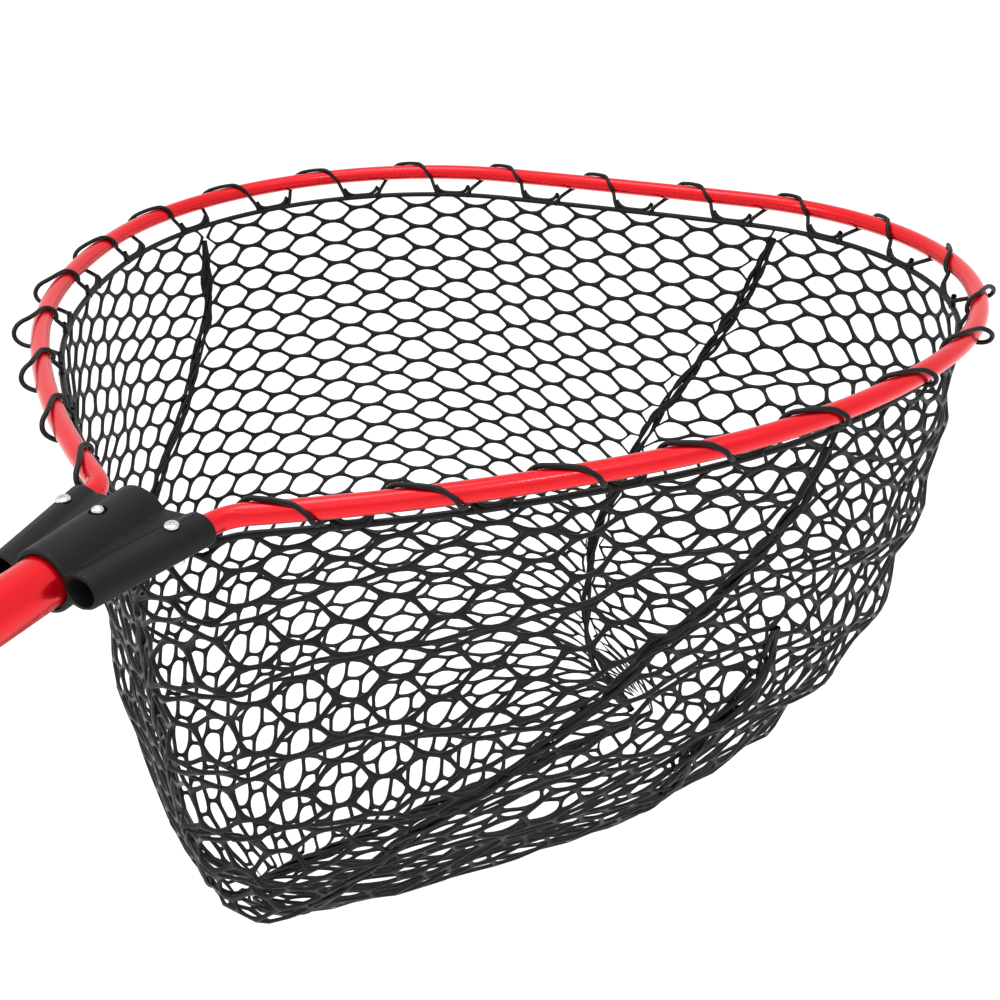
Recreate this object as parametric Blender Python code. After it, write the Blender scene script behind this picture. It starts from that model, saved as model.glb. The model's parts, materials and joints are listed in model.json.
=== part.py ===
"""Landing net: a hoop of anodised tube and a netting bag, in a moulded yoke on a telescopic handle.

Frame: metres, +Z up.  The origin is on the handle's axis at the middle of the hand grip, +X runs
along the handle towards the hoop, +Y is to the left.  The hoop lies in the plane Z = 0 and the bag
hangs below it.  Every length below is written in millimetres and turned to metres by MM.
"""
import math

import bmesh
import bpy
import numpy as np
from mathutils import Vector

MM = 0.001
DEG = math.pi / 180.0
GAP = 0.3                      # clearance that touching pieces keep

# ---- driving dimensions, millimetres -------------------------------------------------------
# handle, measured along X from the middle of the grip
FRONT_TUBE_R, FRONT_TUBE_WALL = 14.1, 1.2
REAR_TUBE_R, REAR_TUBE_WALL = 15.9, 1.35
FRONT_TUBE_START, FRONT_TUBE_END = -122.0, 585.0
REAR_TUBE_START, REAR_TUBE_END = -146.0, 380.0
GRIP_HALF, GRIP_R = 130.0, 19.6
CAP_END, CAP_R = -154.0, 20.4
COLLAR_START, COLLAR_END, COLLAR_R = 361.0, 424.0, 21.0
# yoke
YOKE_REAR, YOKE_FRONT = 516.0, 590.0
YOKE_WALL = 3.0
YOKE_WEB = 7.0                 # half thickness of the webs between the three sleeves
POCKET_DEPTH, POCKET_R = 11.0, 7.9   # the side sleeves' wider mouths at the yoke's rear
SLEEVE_FLARE = 11.0            # degrees that the hoop's sleeves splay towards the front
SCREW_X, BUTTON_X = 572.0, 560.0
# hoop, a tangent run of arcs on each side; angles are the tube's heading from +X, in degrees
HOOP_R, HOOP_WALL = 6.35, 1.1
HOOP_LEG = (594.6, 39.7)       # where the tube leaves its sleeve and starts to bend, X and Y
HOOP_TUBE_END = 528.0          # X of the tube's ends inside the sleeves
BEND_R, BEND_HEADING = 28.0, 58.0
FLANK_ARCS = ((875.0, 43.0), (446.0, 13.7), (232.5, -88.5))
# netting
MOUTH_START = 602.0            # X where the mouth ring closes in front of the yoke
SELVEDGE_INSET, SELVEDGE_Z, SELVEDGE_R = 11.0, -18.0, 2.3
NET_THICKNESS = 0.9            # a sheet as heavy as the netting, which is mostly holes
KEEL_REAR, KEEL_FRONT = (705.0, 68.0, -382.0), (1020.0, -120.0, -385.0)
KEEL_REACH = (640.0, 1210.0)   # X range of the mouth that is gathered along the keel seam
# how square the wall's profile is at eight places round the mouth, from the yoke over the left
# side: below 1 hangs full like a bucket, 1 is a quarter ellipse, above 1 runs straight down
FULLNESS = (0.85, 0.38, 0.62, 1.0, 1.3, 1.25, 0.82, 0.84)
# the four seams: places round the mouth, 0 to 1, at their upper and lower ends
SEAMS = (("rear", 0.03, 0.045), ("left", 0.30, 0.10), ("front", 0.58, 0.41), ("right", 0.80, 0.95))
# lacing, as running lengths along the hoop from X = LACING_START
LACING_COUNT, LACING_R, LACING_START = 24, 1.6, 598.0
LACING_ENDS = (50.0, 1997.0)   # where the first and the last loop cross the tube
FOOT_AHEAD, FOOT_BEHIND = 13.0, 45.0
LACING_LEAN = ((-32, 40, 80, 130, 175, 262), (-8.0, -2.0, 3.0, 22.0, 30.0, 37.0))

HANDLE_SIDES, HOOP_SIDES = 32, 10


# ---- shared helpers ------------------------------------------------------------------------
def clear_scene():
    for item in list(bpy.data.objects):
        bpy.data.objects.remove(item, do_unlink=True)


def material(name, colour, roughness, metallic=0.0):
    """One Principled material; a second call with the name returns the first."""
    found = bpy.data.materials.get(name)
    if found:
        return found
    made = bpy.data.materials.new(name)
    made.use_nodes = True
    shader = made.node_tree.nodes["Principled BSDF"]
    shader.inputs["Base Color"].default_value = (*colour, 1.0)
    shader.inputs["Roughness"].default_value = roughness
    shader.inputs["Metallic"].default_value = metallic
    return made


def red_anodised():
    return material("red_anodised", (0.80, 0.01, 0.02), 0.25, 0.9)


def black_plastic():
    return material("black_plastic", (0.02, 0.02, 0.02), 0.5)


def black_rubber():
    return material("black_rubber", (0.012, 0.012, 0.012), 0.4)


def bright_steel():
    return material("bright_steel", (0.75, 0.75, 0.74), 0.25, 1.0)


def add_object(name, vertices, faces, finish, smooth=40.0):
    """A mesh object from millimetre points, its normals made to point out."""
    mesh = bpy.data.meshes.new(name)
    mesh.from_pydata([tuple(float(c) * MM for c in v) for v in vertices], [], faces)
    work = bmesh.new()
    work.from_mesh(mesh)
    bmesh.ops.recalc_face_normals(work, faces=work.faces)
    if work.calc_volume(signed=True) < 0:
        bmesh.ops.reverse_faces(work, faces=work.faces)
    work.to_mesh(mesh)
    work.free()
    mesh.materials.append(finish)
    mesh.shade_smooth()
    mesh.set_sharp_from_angle(angle=smooth * DEG)
    made = bpy.data.objects.new(name, mesh)
    bpy.context.collection.objects.link(made)
    return made


def carve(target, cutters, operation="DIFFERENCE"):
    """Apply one Boolean per cutter to the target, then remove the cutters."""
    for cutter in cutters:
        cutter.hide_render = True
        cutter.display_type = "WIRE"
        step = target.modifiers.new("cut", "BOOLEAN")
        step.operation = operation
        step.solver = "EXACT"
        step.object = cutter
        bpy.context.view_layer.update()
        graph = bpy.context.evaluated_depsgraph_get()
        result = bpy.data.meshes.new_from_object(target.evaluated_get(graph))
        target.modifiers.clear()
        target.data = result
        bpy.data.objects.remove(cutter, do_unlink=True)
    target.data.shade_smooth()
    target.data.set_sharp_from_angle(angle=40.0 * DEG)
    return target


def ring_faces(rings, sides, closed_length=False):
    """Quads between neighbouring rings of points, numbered ring by ring."""
    faces = []
    last = rings if closed_length else rings - 1
    for i in range(last):
        a, b = i * sides, ((i + 1) % rings) * sides
        for k in range(sides):
            n = (k + 1) % sides
            faces.append((a + k, a + n, b + n, b + k))
    return faces


def turned(name, profile, finish, sides=HANDLE_SIDES, lobes=0, lobe_depth=0.0, closed=True):
    """Turn a profile of (x, r) points round the X axis.

    A closed profile makes a ring; an open one starts and ends on the axis and is capped.  Points
    with a radius over the mean of the profile may carry lobes, as on a fluted knob.
    """
    profile = np.array(profile, float)
    angle = np.arange(sides) * 2 * math.pi / sides
    flute = 1.0 - lobe_depth * (0.5 + 0.5 * np.cos(lobes * angle)) if lobes else np.ones(sides)
    crown = profile[:, 1].max() - 0.8
    points = []
    for x, r in profile:
        reach = r * (flute if lobes and r > crown else 1.0)
        points += list(zip(np.full(sides, x), reach * np.sin(angle), reach * np.cos(angle)))
    faces = ring_faces(len(profile), sides, closed)
    if not closed:
        faces.append(tuple(range(sides)))
        faces.append(tuple(range((len(profile) - 1) * sides, len(profile) * sides)))
    return add_object(name, points, faces, finish)


def pipe(name, x0, x1, outer, inner, finish, sides=HANDLE_SIDES):
    return turned(name, [(x0, outer), (x1, outer), (x1, inner), (x0, inner)], finish, sides)


def rod(name, start, end, radius, sides=20):
    """A plain cylinder between two points, for cutters and shanks."""
    start, end = Vector(start), Vector(end)
    turn = Vector((0, 0, 1)).rotation_difference(end - start)
    points = []
    for centre in (start, end):
        for k in range(sides):
            a = 2 * math.pi * k / sides
            points.append(centre + turn @ Vector((radius * math.cos(a), radius * math.sin(a), 0)))
    faces = ring_faces(2, sides) + [tuple(range(sides)), tuple(range(sides, 2 * sides))]
    return add_object(name, points, faces, black_plastic())


def block(name, low, high):
    """A box cutter between two corners."""
    xs, ys, zs = zip(low, high)
    points = [(x, y, z) for z in zs for y in ys for x in xs]
    faces = [(0, 1, 3, 2), (4, 5, 7, 6), (0, 1, 5, 4), (2, 3, 7, 6), (0, 2, 6, 4), (1, 3, 7, 5)]
    return add_object(name, points, faces, black_plastic())


def carried_side(tangent):
    """A vector square to each tangent, carried from one to the next by projection."""
    side = np.empty_like(tangent)
    held = np.array([0.31, 0.52, 0.79])
    for i, ahead in enumerate(tangent):
        held = held - ahead * (held @ ahead)
        held /= np.linalg.norm(held)
        side[i] = held
    return side


def swept(name, path, radius, sides, finish, closed=False, bore=0.0, carried=False):
    """A tube along a path; with a bore it is a pipe with open ends."""
    path = np.array(path, float)
    if closed:
        tangent = np.roll(path, -1, 0) - np.roll(path, 1, 0)
    else:
        tangent = np.gradient(path, axis=0)
    tangent /= np.linalg.norm(tangent, axis=1)[:, None]
    side = carried_side(tangent) if carried else np.cross(tangent, [0.0, 0.0, 1.0])
    side = side - (side * tangent).sum(1)[:, None] * tangent
    side /= np.linalg.norm(side, axis=1)[:, None]
    over = np.cross(tangent, side)
    angle = (np.arange(sides) + 0.5) * 2 * math.pi / sides

    def skin(r):
        reach = r * (side[:, None] * np.cos(angle)[None, :, None]
                     + over[:, None] * np.sin(angle)[None, :, None])
        return (path[:, None] + reach).reshape(-1, 3)

    count = len(path)
    points, faces = list(skin(radius)), ring_faces(count, sides, closed)
    if bore:
        points += list(skin(bore))
        shift = count * sides
        faces += [tuple(reversed([shift + i for i in f])) for f in ring_faces(count, sides)]
        for ring in (0, count - 1):
            a = ring * sides
            faces += [(a + k, a + (k + 1) % sides, shift + a + (k + 1) % sides, shift + a + k)
                      for k in range(sides)]
    elif not closed:
        faces.append(tuple(range(sides)))
        faces.append(tuple(range((count - 1) * sides, count * sides)))
    if carried:
        # the quads of a winding path aren't flat, so they are split along one diagonal
        faces = [f for quad in faces[:-2] for f in (quad[:3], (quad[0],) + quad[2:])] + faces[-2:]
    return add_object(name, points, faces, finish)


# ---- the hoop's outline ---------------------------------------------------------------------
def hoop_side():
    """Left half of the hoop's centre line, from inside its sleeve to the middle of the front.

    Each arc starts at the end of the one before with the same heading.  The front arc's radius is
    the one that brings the tube square across the axis: y over the sine of the angle left to turn.
    """
    x, y = HOOP_LEG
    heading = SLEEVE_FLARE * DEG
    leg = x - HOOP_TUBE_END
    points = [(x - leg * f, y - leg * f * math.tan(heading)) for f in (1.0, 0.66, 0.33, 0.0)]
    arcs = [(BEND_R, BEND_HEADING, 5)]
    arcs += [(r, a, n) for (r, a), n in zip(FLANK_ARCS, (5, 7, 11))]
    for radius, target, steps in arcs + [(None, -90.0, 4)]:
        target *= DEG
        if radius is None:
            radius = y / math.sin(math.pi / 2 + heading)
        turn = 1.0 if target > heading else -1.0
        cx, cy = x - turn * radius * math.sin(heading), y + turn * radius * math.cos(heading)
        for a in np.linspace(heading, target, steps + 1)[1:]:
            x, y = cx + turn * radius * math.sin(a), cy - turn * radius * math.cos(a)
            points.append((x, y))
        heading = target
    return np.array(points)


def hoop_line():
    """The whole centre line, left sleeve to right sleeve, in the plane Z = 0."""
    left = hoop_side()
    both = np.vstack([left, left[-2::-1] * [1, -1]])
    return np.column_stack([both, np.zeros(len(both))])


def resample(points, count, closed=False):
    """Even steps by arc length along a line of points."""
    if closed:
        points = np.vstack([points, points[:1]])
    run = np.r_[0.0, np.cumsum(np.linalg.norm(np.diff(points, axis=0), axis=1))]
    at = np.linspace(0.0, run[-1], count, endpoint=not closed)
    return np.column_stack([np.interp(at, run, points[:, k]) for k in range(points.shape[1])])


# ---- the bag's surface ----------------------------------------------------------------------
def mouth_line(count):
    """The selvedge: the hoop's line moved inwards, closed in front of the yoke, from there on."""
    line = hoop_line()[:, :2]
    heading = np.gradient(line, axis=0)
    heading /= np.linalg.norm(heading, axis=1)[:, None]
    line = line + SELVEDGE_INSET * np.column_stack([heading[:, 1], -heading[:, 0]])
    line = line[line[:, 0] > MOUTH_START]
    dense = resample(line, 1200, closed=True)
    start = np.argmin(np.where(abs(dense[:, 1]) < 1.5, dense[:, 0], 1e9))
    ring = resample(np.roll(dense, -start, 0), count, closed=True)
    return np.column_stack([ring, np.full(count, SELVEDGE_Z)])


def bag_surface(columns, rows):
    """Points of the bag, [column round the mouth][row down the wall].

    Each wall line is a quarter superellipse between its mouth point and its point on the keel
    seam: across c = cos(t) ** e and down s = sin(t) ** e, with e from FULLNESS.  It is then
    resampled by length, so that its rows are evenly spaced.
    """
    mouth = mouth_line(columns)
    place = np.arange(columns) / columns
    share = np.clip((mouth[:, 0] - KEEL_REACH[0]) / (KEEL_REACH[1] - KEEL_REACH[0]), 0, 1)
    share = share * share * (3 - 2 * share)
    keel = np.array(KEEL_REAR) + np.outer(share, np.array(KEEL_FRONT) - np.array(KEEL_REAR))
    knots = np.arange(len(FULLNESS))[:, None]
    away = (place * len(FULLNESS) - knots + 4) % 8 - 4
    power = (np.array(FULLNESS)[:, None] * (0.5 + 0.5 * np.cos(np.clip(away, -1, 1) * math.pi))).sum(0)
    t = np.linspace(0, 1, 160) ** 2
    t = np.r_[t / 2, 1 - t[-2::-1] / 2] * math.pi / 2
    across = np.clip(np.cos(t), 0, 1)[None, :] ** power[:, None]
    down = np.sin(t)[None, :] ** power[:, None]
    grid = np.empty((columns, rows, 3))
    for i in range(columns):
        line = np.empty((len(t), 3))
        line[:, :2] = keel[i, :2] + (mouth[i, :2] - keel[i, :2]) * across[i][:, None]
        line[:, 2] = mouth[i, 2] + (keel[i, 2] - mouth[i, 2]) * down[i]
        grid[i] = resample(line, rows)
    return grid


# ---- handle ---------------------------------------------------------------------------------
def build_handle():
    rear_bore = REAR_TUBE_R - REAR_TUBE_WALL
    front_bore = FRONT_TUBE_R - FRONT_TUBE_WALL
    pipe("handle_rear_tube", REAR_TUBE_START, REAR_TUBE_END, REAR_TUBE_R, rear_bore, red_anodised())
    front = pipe("handle_front_tube", FRONT_TUBE_START, FRONT_TUBE_END, FRONT_TUBE_R, front_bore,
                 red_anodised())
    carve(front, [rod("hole", (BUTTON_X, 0, 8), (BUTTON_X, 0, 20), 3.7, 16)])
    # slide bush: a plastic plug in the hidden end of the front tube that guides it in the rear one
    lip = rear_bore - 0.15
    turned("slide_bush", [(FRONT_TUBE_START - 8, lip), (FRONT_TUBE_START - GAP, lip),
                          (FRONT_TUBE_START - GAP, front_bore - GAP),
                          (FRONT_TUBE_START + 22, front_bore - GAP),
                          (FRONT_TUBE_START + 22, 9.5), (FRONT_TUBE_START - 8, 9.5)],
           black_plastic())
    turned("front_tube_plug", [(FRONT_TUBE_END + 2.0, 0.5), (FRONT_TUBE_END + 2.0, FRONT_TUBE_R - 0.4),
                               (FRONT_TUBE_END + GAP, FRONT_TUBE_R),
                               (FRONT_TUBE_END + GAP, front_bore - GAP),
                               (FRONT_TUBE_END - 13, front_bore - GAP),
                               (FRONT_TUBE_END - 13, 0.5)], black_plastic(), closed=False)


def build_grip():
    skin = REAR_TUBE_R + GAP
    half, r = GRIP_HALF, GRIP_R
    outline = [(-half, skin), (-half, r - 1.5), (-half + 3, r), (-60, r + 0.5), (-20, r - 0.6),
               (30, r - 0.6), (85, r + 0.4), (half - 12, r), (half - 3, r - 1.2), (half, r - 3.0),
               (half, skin)]
    turned("grip_sleeve", outline, material("grip_foam", (0.025, 0.025, 0.027), 0.85))
    turned("grip_ring", [(half + GAP, skin), (half + GAP, r - 0.6), (half + 4, r - 0.2),
                         (half + 8, r - 1.4), (half + 10, skin + 0.8), (half + 10, skin)],
           black_plastic())


def build_butt_cap():
    """Moulded cap: a plug inside the rear tube and a skirt over it."""
    bore = REAR_TUBE_R - REAR_TUBE_WALL - GAP
    mouth = -GRIP_HALF - GAP
    skirt = REAR_TUBE_R + GAP
    start = REAR_TUBE_START - GAP
    turned("butt_cap", [(CAP_END, 14.0), (CAP_END + 2.2, 17.6), (CAP_END + 6, CAP_R - 0.8),
                        (mouth - 7, CAP_R), (mouth, CAP_R - 1.0), (mouth, skirt), (start, skirt),
                        (start, bore), (mouth - 4, bore), (mouth - 4, bore - 2),
                        (start + 1.5, bore - 2.0)], black_plastic(), closed=False)


def build_twist_lock():
    tube = REAR_TUBE_R + GAP
    turned("lock_base", [(COLLAR_START - 16, tube), (COLLAR_START - 16, tube + 1.8),
                         (COLLAR_START - 13, tube + 3.0), (COLLAR_START - 2, tube + 3.0),
                         (COLLAR_START - 2, tube + 1.2), (REAR_TUBE_END + 1, tube + 1.2),
                         (REAR_TUBE_END + 1, tube)], black_plastic())
    inside = tube + 1.2 + 0.45
    r, start, end = COLLAR_R, COLLAR_START, COLLAR_END
    turned("lock_collar", [(start, inside), (start, r - 1.4), (start + 2.5, r), (end - 18, r),
                           (end - 15, r - 1.6), (end - 3, FRONT_TUBE_R + 3.4),
                           (end, FRONT_TUBE_R + 2.2), (end, FRONT_TUBE_R + 0.7),
                           (end - 5, FRONT_TUBE_R + 0.7), (end - 16, inside)],
           black_plastic(), sides=48, lobes=12, lobe_depth=0.045)
    collet = turned("lock_collet", [(REAR_TUBE_END + 1.6, FRONT_TUBE_R + 0.35),
                                    (REAR_TUBE_END + 1.6, inside - 0.5), (end - 16.8, inside - 0.5),
                                    (end - 7.5, FRONT_TUBE_R + 1.3), (end - 7.5, FRONT_TUBE_R + 0.35)],
                    material("acetal", (0.75, 0.75, 0.72), 0.4))
    carve(collet, [block("split", (REAR_TUBE_END, -1.2, 10), (end, 1.2, 24))])


# ---- yoke -----------------------------------------------------------------------------------
def sleeve_centre(x):
    """Y of the left hoop sleeve's axis at a place along X."""
    return HOOP_LEG[1] - (HOOP_LEG[0] - x) * math.tan(SLEEVE_FLARE * DEG)


def yoke_section(x, count=37):
    """Half height of the yoke over its width at one place along X.

    It is the soft maximum of the three sleeves' round tops and the flat webs, by a fifth-power
    mean, which leaves the moulded fillets between them.
    """
    main, side = FRONT_TUBE_R + GAP + YOKE_WALL, HOOP_R + GAP + YOKE_WALL
    centre = sleeve_centre(x)
    reach = centre + side
    y = reach * np.sin(np.linspace(-math.pi / 2, math.pi / 2, count))
    tops = [np.sqrt(np.clip(main ** 2 - y ** 2, 0, None)),
            np.sqrt(np.clip(side ** 2 - (abs(y) - centre) ** 2, 0, None)),
            np.where(abs(y) < centre, YOKE_WEB, 0.0)]
    height = (sum(t ** 5 for t in tops)) ** 0.2
    height[[0, -1]] = 0.0
    return y, height


def build_yoke():
    """The moulded yoke: three sleeves joined by webs, bored for the handle and the hoop's legs."""
    stations = [(YOKE_REAR, 0.93), (YOKE_REAR + 1.6, 1.0)]
    stations += [(x, 1.0) for x in np.linspace(YOKE_REAR + 24, YOKE_FRONT - 1.6, 4)]
    stations += [(YOKE_FRONT, 0.94)]
    points, ring = [], 0
    for x, swell in stations:
        y, height = yoke_section(x)
        loop = [(x, a, h * swell) for a, h in zip(y, height)]
        loop += [(x, a, -h * swell) for a, h in zip(y[-2:0:-1], height[-2:0:-1])]
        ring = len(loop)
        points += loop
    faces = ring_faces(len(stations), ring)
    faces.append(tuple(range(ring)))
    faces.append(tuple(range((len(stations) - 1) * ring, len(stations) * ring)))
    yoke = add_object("yoke_body", points, faces, black_plastic())
    cutters = [rod("mouth_step", (YOKE_REAR - 6, 0, 0), (YOKE_REAR + 1.2, 0, 0),
                   FRONT_TUBE_R + 1.5, 36),
               rod("bore", (YOKE_REAR - 9, 0, 0), (YOKE_FRONT + 9, 0, 0), FRONT_TUBE_R + GAP, 36)]
    for side in (1, -1):
        ends = [(x, side * sleeve_centre(x), 0) for x in (YOKE_REAR - 12, YOKE_FRONT + 12)]
        cutters.append(rod("leg_bore", ends[0], ends[1], HOOP_R + GAP, 24))
        floor = (YOKE_REAR + POCKET_DEPTH, side * sleeve_centre(YOKE_REAR + POCKET_DEPTH), 0)
        cutters.append(rod("pocket", ends[0], floor, POCKET_R, 24))
        y = side * sleeve_centre(SCREW_X)
        cutters.append(rod("screw_hole", (SCREW_X, y, -30), (SCREW_X, y, 30), 2.4, 12))
        cutters.append(rod("seat", (SCREW_X, y, 9.0), (SCREW_X, y, 14), 4.6, 20))
        cutters.append(rod("nut_pocket", (SCREW_X, y, -7.6), (SCREW_X, y, -16), 4.7, 6))
    cutters.append(rod("button_hole", (BUTTON_X, 0, 8), (BUTTON_X, 0, 24), 4.8, 20))
    carve(yoke, cutters)


def build_screws():
    for side, label in ((1, "left"), (-1, "right")):
        x, y = SCREW_X, side * sleeve_centre(SCREW_X)
        profile = [(-12.6, 0.0), (-12.6, 1.6), (-12.0, 1.9), (9.3, 1.9), (9.3, 4.2), (10.6, 4.15),
                   (11.6, 3.3), (12.1, 1.8), (12.15, 0.0)]
        sides = 16
        points = []
        for z, r in profile[1:-1]:
            points += [(x + r * math.cos(2 * math.pi * k / sides),
                        y + r * math.sin(2 * math.pi * k / sides), z) for k in range(sides)]
        count = len(profile) - 2
        faces = ring_faces(count, sides)
        faces += [tuple(range(sides)), tuple(range((count - 1) * sides, count * sides))]
        screw = add_object("hoop_screw_" + label, points, faces, bright_steel())
        cutters = [block("slot", (x - 2.1, y - 0.45, 10.7), (x + 2.1, y + 0.45, 14)),
                   block("slot", (x - 0.45, y - 2.1, 10.7), (x + 0.45, y + 2.1, 14))]
        carve(screw, cutters)
        nut = rod("hoop_nut_" + label, (x, y, -8.0), (x, y, -11.2), 4.2, 6)
        nut.data.materials[0] = bright_steel()
        carve(nut, [rod("thread", (x, y, -20), (x, y, 0), 2.2, 16)])


def build_button():
    x, sides = BUTTON_X, 20
    profile = [(10.9, 4.6), (11.6, 4.6), (11.6, 3.3), (17.4, 3.3), (18.6, 2.8), (19.4, 1.7),
               (19.7, 0.6)]
    points = []
    for z, r in profile:
        points += [(x + r * math.cos(2 * math.pi * k / sides), r * math.sin(2 * math.pi * k / sides), z)
                   for k in range(sides)]
    faces = ring_faces(len(profile), sides)
    faces += [tuple(range(sides)), tuple(range((len(profile) - 1) * sides, len(profile) * sides))]
    add_object("snap_button", points, faces, bright_steel())


def build_button_spring():
    """A bent leaf: the top leg under the button, a round heel, and a leg on the tube's floor."""
    heel = np.array([[BUTTON_X - 44 - 4 * math.sin(a), 4 * math.cos(a) - 1.0]
                     for a in np.linspace(0.15, math.pi - 0.15, 7)])
    line = np.vstack([[(BUTTON_X + 6, 10.2), (BUTTON_X - 6, 10.2)], heel,
                      [(BUTTON_X - 6, -11.2), (BUTTON_X + 6, -11.2)]])
    heading = np.gradient(line, axis=0)
    heading /= np.linalg.norm(heading, axis=1)[:, None]
    normal = np.column_stack([-heading[:, 1], heading[:, 0]]) * 0.35
    points = []
    for (x, z), (nx, nz) in zip(line, normal):
        points += [(x + nx, -3.5, z + nz), (x + nx, 3.5, z + nz),
                   (x - nx, 3.5, z - nz), (x - nx, -3.5, z - nz)]
    faces = ring_faces(len(line), 4) + [(0, 1, 2, 3), tuple(range(len(points) - 4, len(points)))]
    add_object("button_spring", points, faces, bright_steel())


# ---- hoop and netting -----------------------------------------------------------------------
def build_hoop():
    hoop = swept("hoop_tube", hoop_line(), HOOP_R, HOOP_SIDES, red_anodised(),
                 bore=HOOP_R - HOOP_WALL)
    cutters = []
    for side in (1, -1):
        y = side * sleeve_centre(SCREW_X)
        cutters.append(rod("screw_hole", (SCREW_X, y, -20), (SCREW_X, y, 20), 2.3, 12))
    carve(hoop, cutters)


def build_selvedge():
    swept("net_selvedge", mouth_line(84), SELVEDGE_R, 5, black_rubber(), closed=True)


def panel_patch(name, grid):
    """A panel of netting as a thin closed sheet; the grid is [column][row] of its middle."""
    columns, rows = grid.shape[:2]
    along = np.gradient(grid, axis=0)
    down = np.gradient(grid, axis=1)
    normal = np.cross(along, down)
    normal /= np.linalg.norm(normal, axis=2)[..., None]
    half = NET_THICKNESS / 2
    points = np.vstack([(grid + half * normal).reshape(-1, 3), (grid - half * normal).reshape(-1, 3)])
    back = columns * rows
    faces = []
    for i in range(columns - 1):
        for j in range(rows - 1):
            a, b = i * rows + j, (i + 1) * rows + j
            faces += [(a, b, b + 1, a + 1), (back + a, back + a + 1, back + b + 1, back + b)]
    rim = [i * rows for i in range(columns)]
    rim += [(columns - 1) * rows + j for j in range(1, rows)]
    rim += [i * rows + rows - 1 for i in range(columns - 2, -1, -1)]
    rim += [j for j in range(rows - 2, 0, -1)]
    for a, b in zip(rim, rim[1:] + rim[:1]):
        faces.append((a, b, back + b, back + a))
    add_object(name, points, faces, black_rubber())


def surface_at(surface, place, row):
    """Read the bag's surface at a place round the mouth (0 to 1) and a fractional row."""
    columns, rows = surface.shape[:2]
    a = (place % 1.0) * columns
    i, f = int(a) % columns, a - int(a)
    j = min(int(row), rows - 2)
    g = row - j
    low = surface[i, j] * (1 - g) + surface[i, j + 1] * g
    high = surface[(i + 1) % columns, j] * (1 - g) + surface[(i + 1) % columns, j + 1] * g
    return low * (1 - f) + high * f


def build_netting():
    """Four panels, the seams between them and the keel seam along the bottom."""
    surface = bag_surface(240, 60)
    top, bottom, rows, last = 1.1, 56.8, 10, 59.0
    panels = zip(SEAMS, SEAMS[1:] + (("rear", SEAMS[0][1] + 1.0, SEAMS[0][2] + 1.0),))
    for name, (seam, next_seam) in zip(("left", "front", "right", "near"), panels):
        columns = max(5, round((next_seam[1] - seam[1]) * 38))
        grid = np.empty((columns, rows, 3))
        for j, row in enumerate(np.linspace(top, bottom, rows)):
            start = seam[1] + (seam[2] - seam[1]) * row / last
            end = next_seam[1] + (next_seam[2] - next_seam[1]) * row / last
            ring = np.array([surface_at(surface, start + (end - start) * f, row)
                             for f in np.linspace(0, 1, 41)])
            run = np.r_[0, np.cumsum(np.linalg.norm(np.diff(ring, axis=0), axis=1))]
            inset = min(6.5, run[-1] * 0.3)
            at = np.linspace(inset, run[-1] - inset, columns)
            for k in range(3):
                grid[:, j, k] = np.interp(at, run, ring[:, k])
        panel_patch("net_panel_" + name, grid)
    for label, start, end in SEAMS:
        path = [surface_at(surface, start + (end - start) * row / last, row)
                for row in np.linspace(1.4, 56.5, 18)]
        swept("seam_" + label, path, 2.2, 5, black_rubber(), carried=True)
    rear, front = np.array(KEEL_REAR), np.array(KEEL_FRONT)
    path = [rear + (front - rear) * f for f in np.linspace(0.0, 1.0, 8)]
    swept("seam_keel", path, 2.2, 5, black_rubber())


def build_lacing():
    """Loops of strand that tie the selvedge to the hoop.

    Each loop rises from the selvedge inside the hoop, goes over the tube, leans along it, and comes
    back under it to the selvedge: an arc round the tube's axis whose foot points run out to the
    selvedge.
    """
    line = resample(hoop_line(), 4000)
    line = line[line[:, 0] > LACING_START]
    run = np.r_[0, np.cumsum(np.linalg.norm(np.diff(line, axis=0), axis=1))]
    heading = np.gradient(line, axis=0)
    heading /= np.linalg.norm(heading, axis=1)[:, None]
    upward = np.array([0.0, 0.0, 1.0])
    reach = HOOP_R + GAP + LACING_R + 0.3
    foot_depth = SELVEDGE_Z + SELVEDGE_R + LACING_R + 0.6

    def frame_at(at):
        """The tube's centre and the inward direction at a running length."""
        centre = np.array([np.interp(at, run, line[:, k]) for k in range(3)])
        ahead = np.array([np.interp(at, run, heading[:, k]) for k in range(3)])
        return centre, np.array([ahead[1], -ahead[0], 0.0])

    for index in range(LACING_COUNT):
        share = index / (LACING_COUNT - 1)
        cross = LACING_ENDS[0] + (LACING_ENDS[1] - LACING_ENDS[0]) * share
        # the loops stand a little wider apart round the front
        cross += 12.6 * math.sin(math.pi * share) - 22.0 * math.sin(2 * math.pi * share)
        path = []
        for angle in np.linspace(-32, 262, 13):
            centre, inward = frame_at(cross - np.interp(angle, *LACING_LEAN))
            turn = angle * DEG
            path.append(centre + reach * (inward * math.cos(turn) + upward * math.sin(turn)))
        feet = []
        for at in (cross + FOOT_AHEAD, cross - FOOT_BEHIND):
            centre, inward = frame_at(at)
            feet.append(centre + inward * (SELVEDGE_INSET - 1.0) + upward * foot_depth)
        path = [feet[0]] + path + [feet[1]]
        swept("lacing_loop_%02d" % (index + 1), path, LACING_R, 5, black_rubber(), carried=True)


def main():
    clear_scene()
    build_handle()
    build_grip()
    build_butt_cap()
    build_twist_lock()
    build_yoke()
    build_screws()
    build_button()
    build_button_spring()
    build_hoop()
    build_selvedge()
    build_netting()
    build_lacing()


main()
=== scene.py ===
"""Landing net: the visual model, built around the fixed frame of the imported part.

Lengths are millimetres in the part's own frame (origin on the handle's axis at the middle of the
grip, +X towards the hoop, +Y left, +Z up) and become metres when a mesh is made.
"""
import json
import logging
import math
from dataclasses import dataclass, field
from enum import Enum

import bpy
import numpy as np
from mathutils import Matrix, Vector


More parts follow.
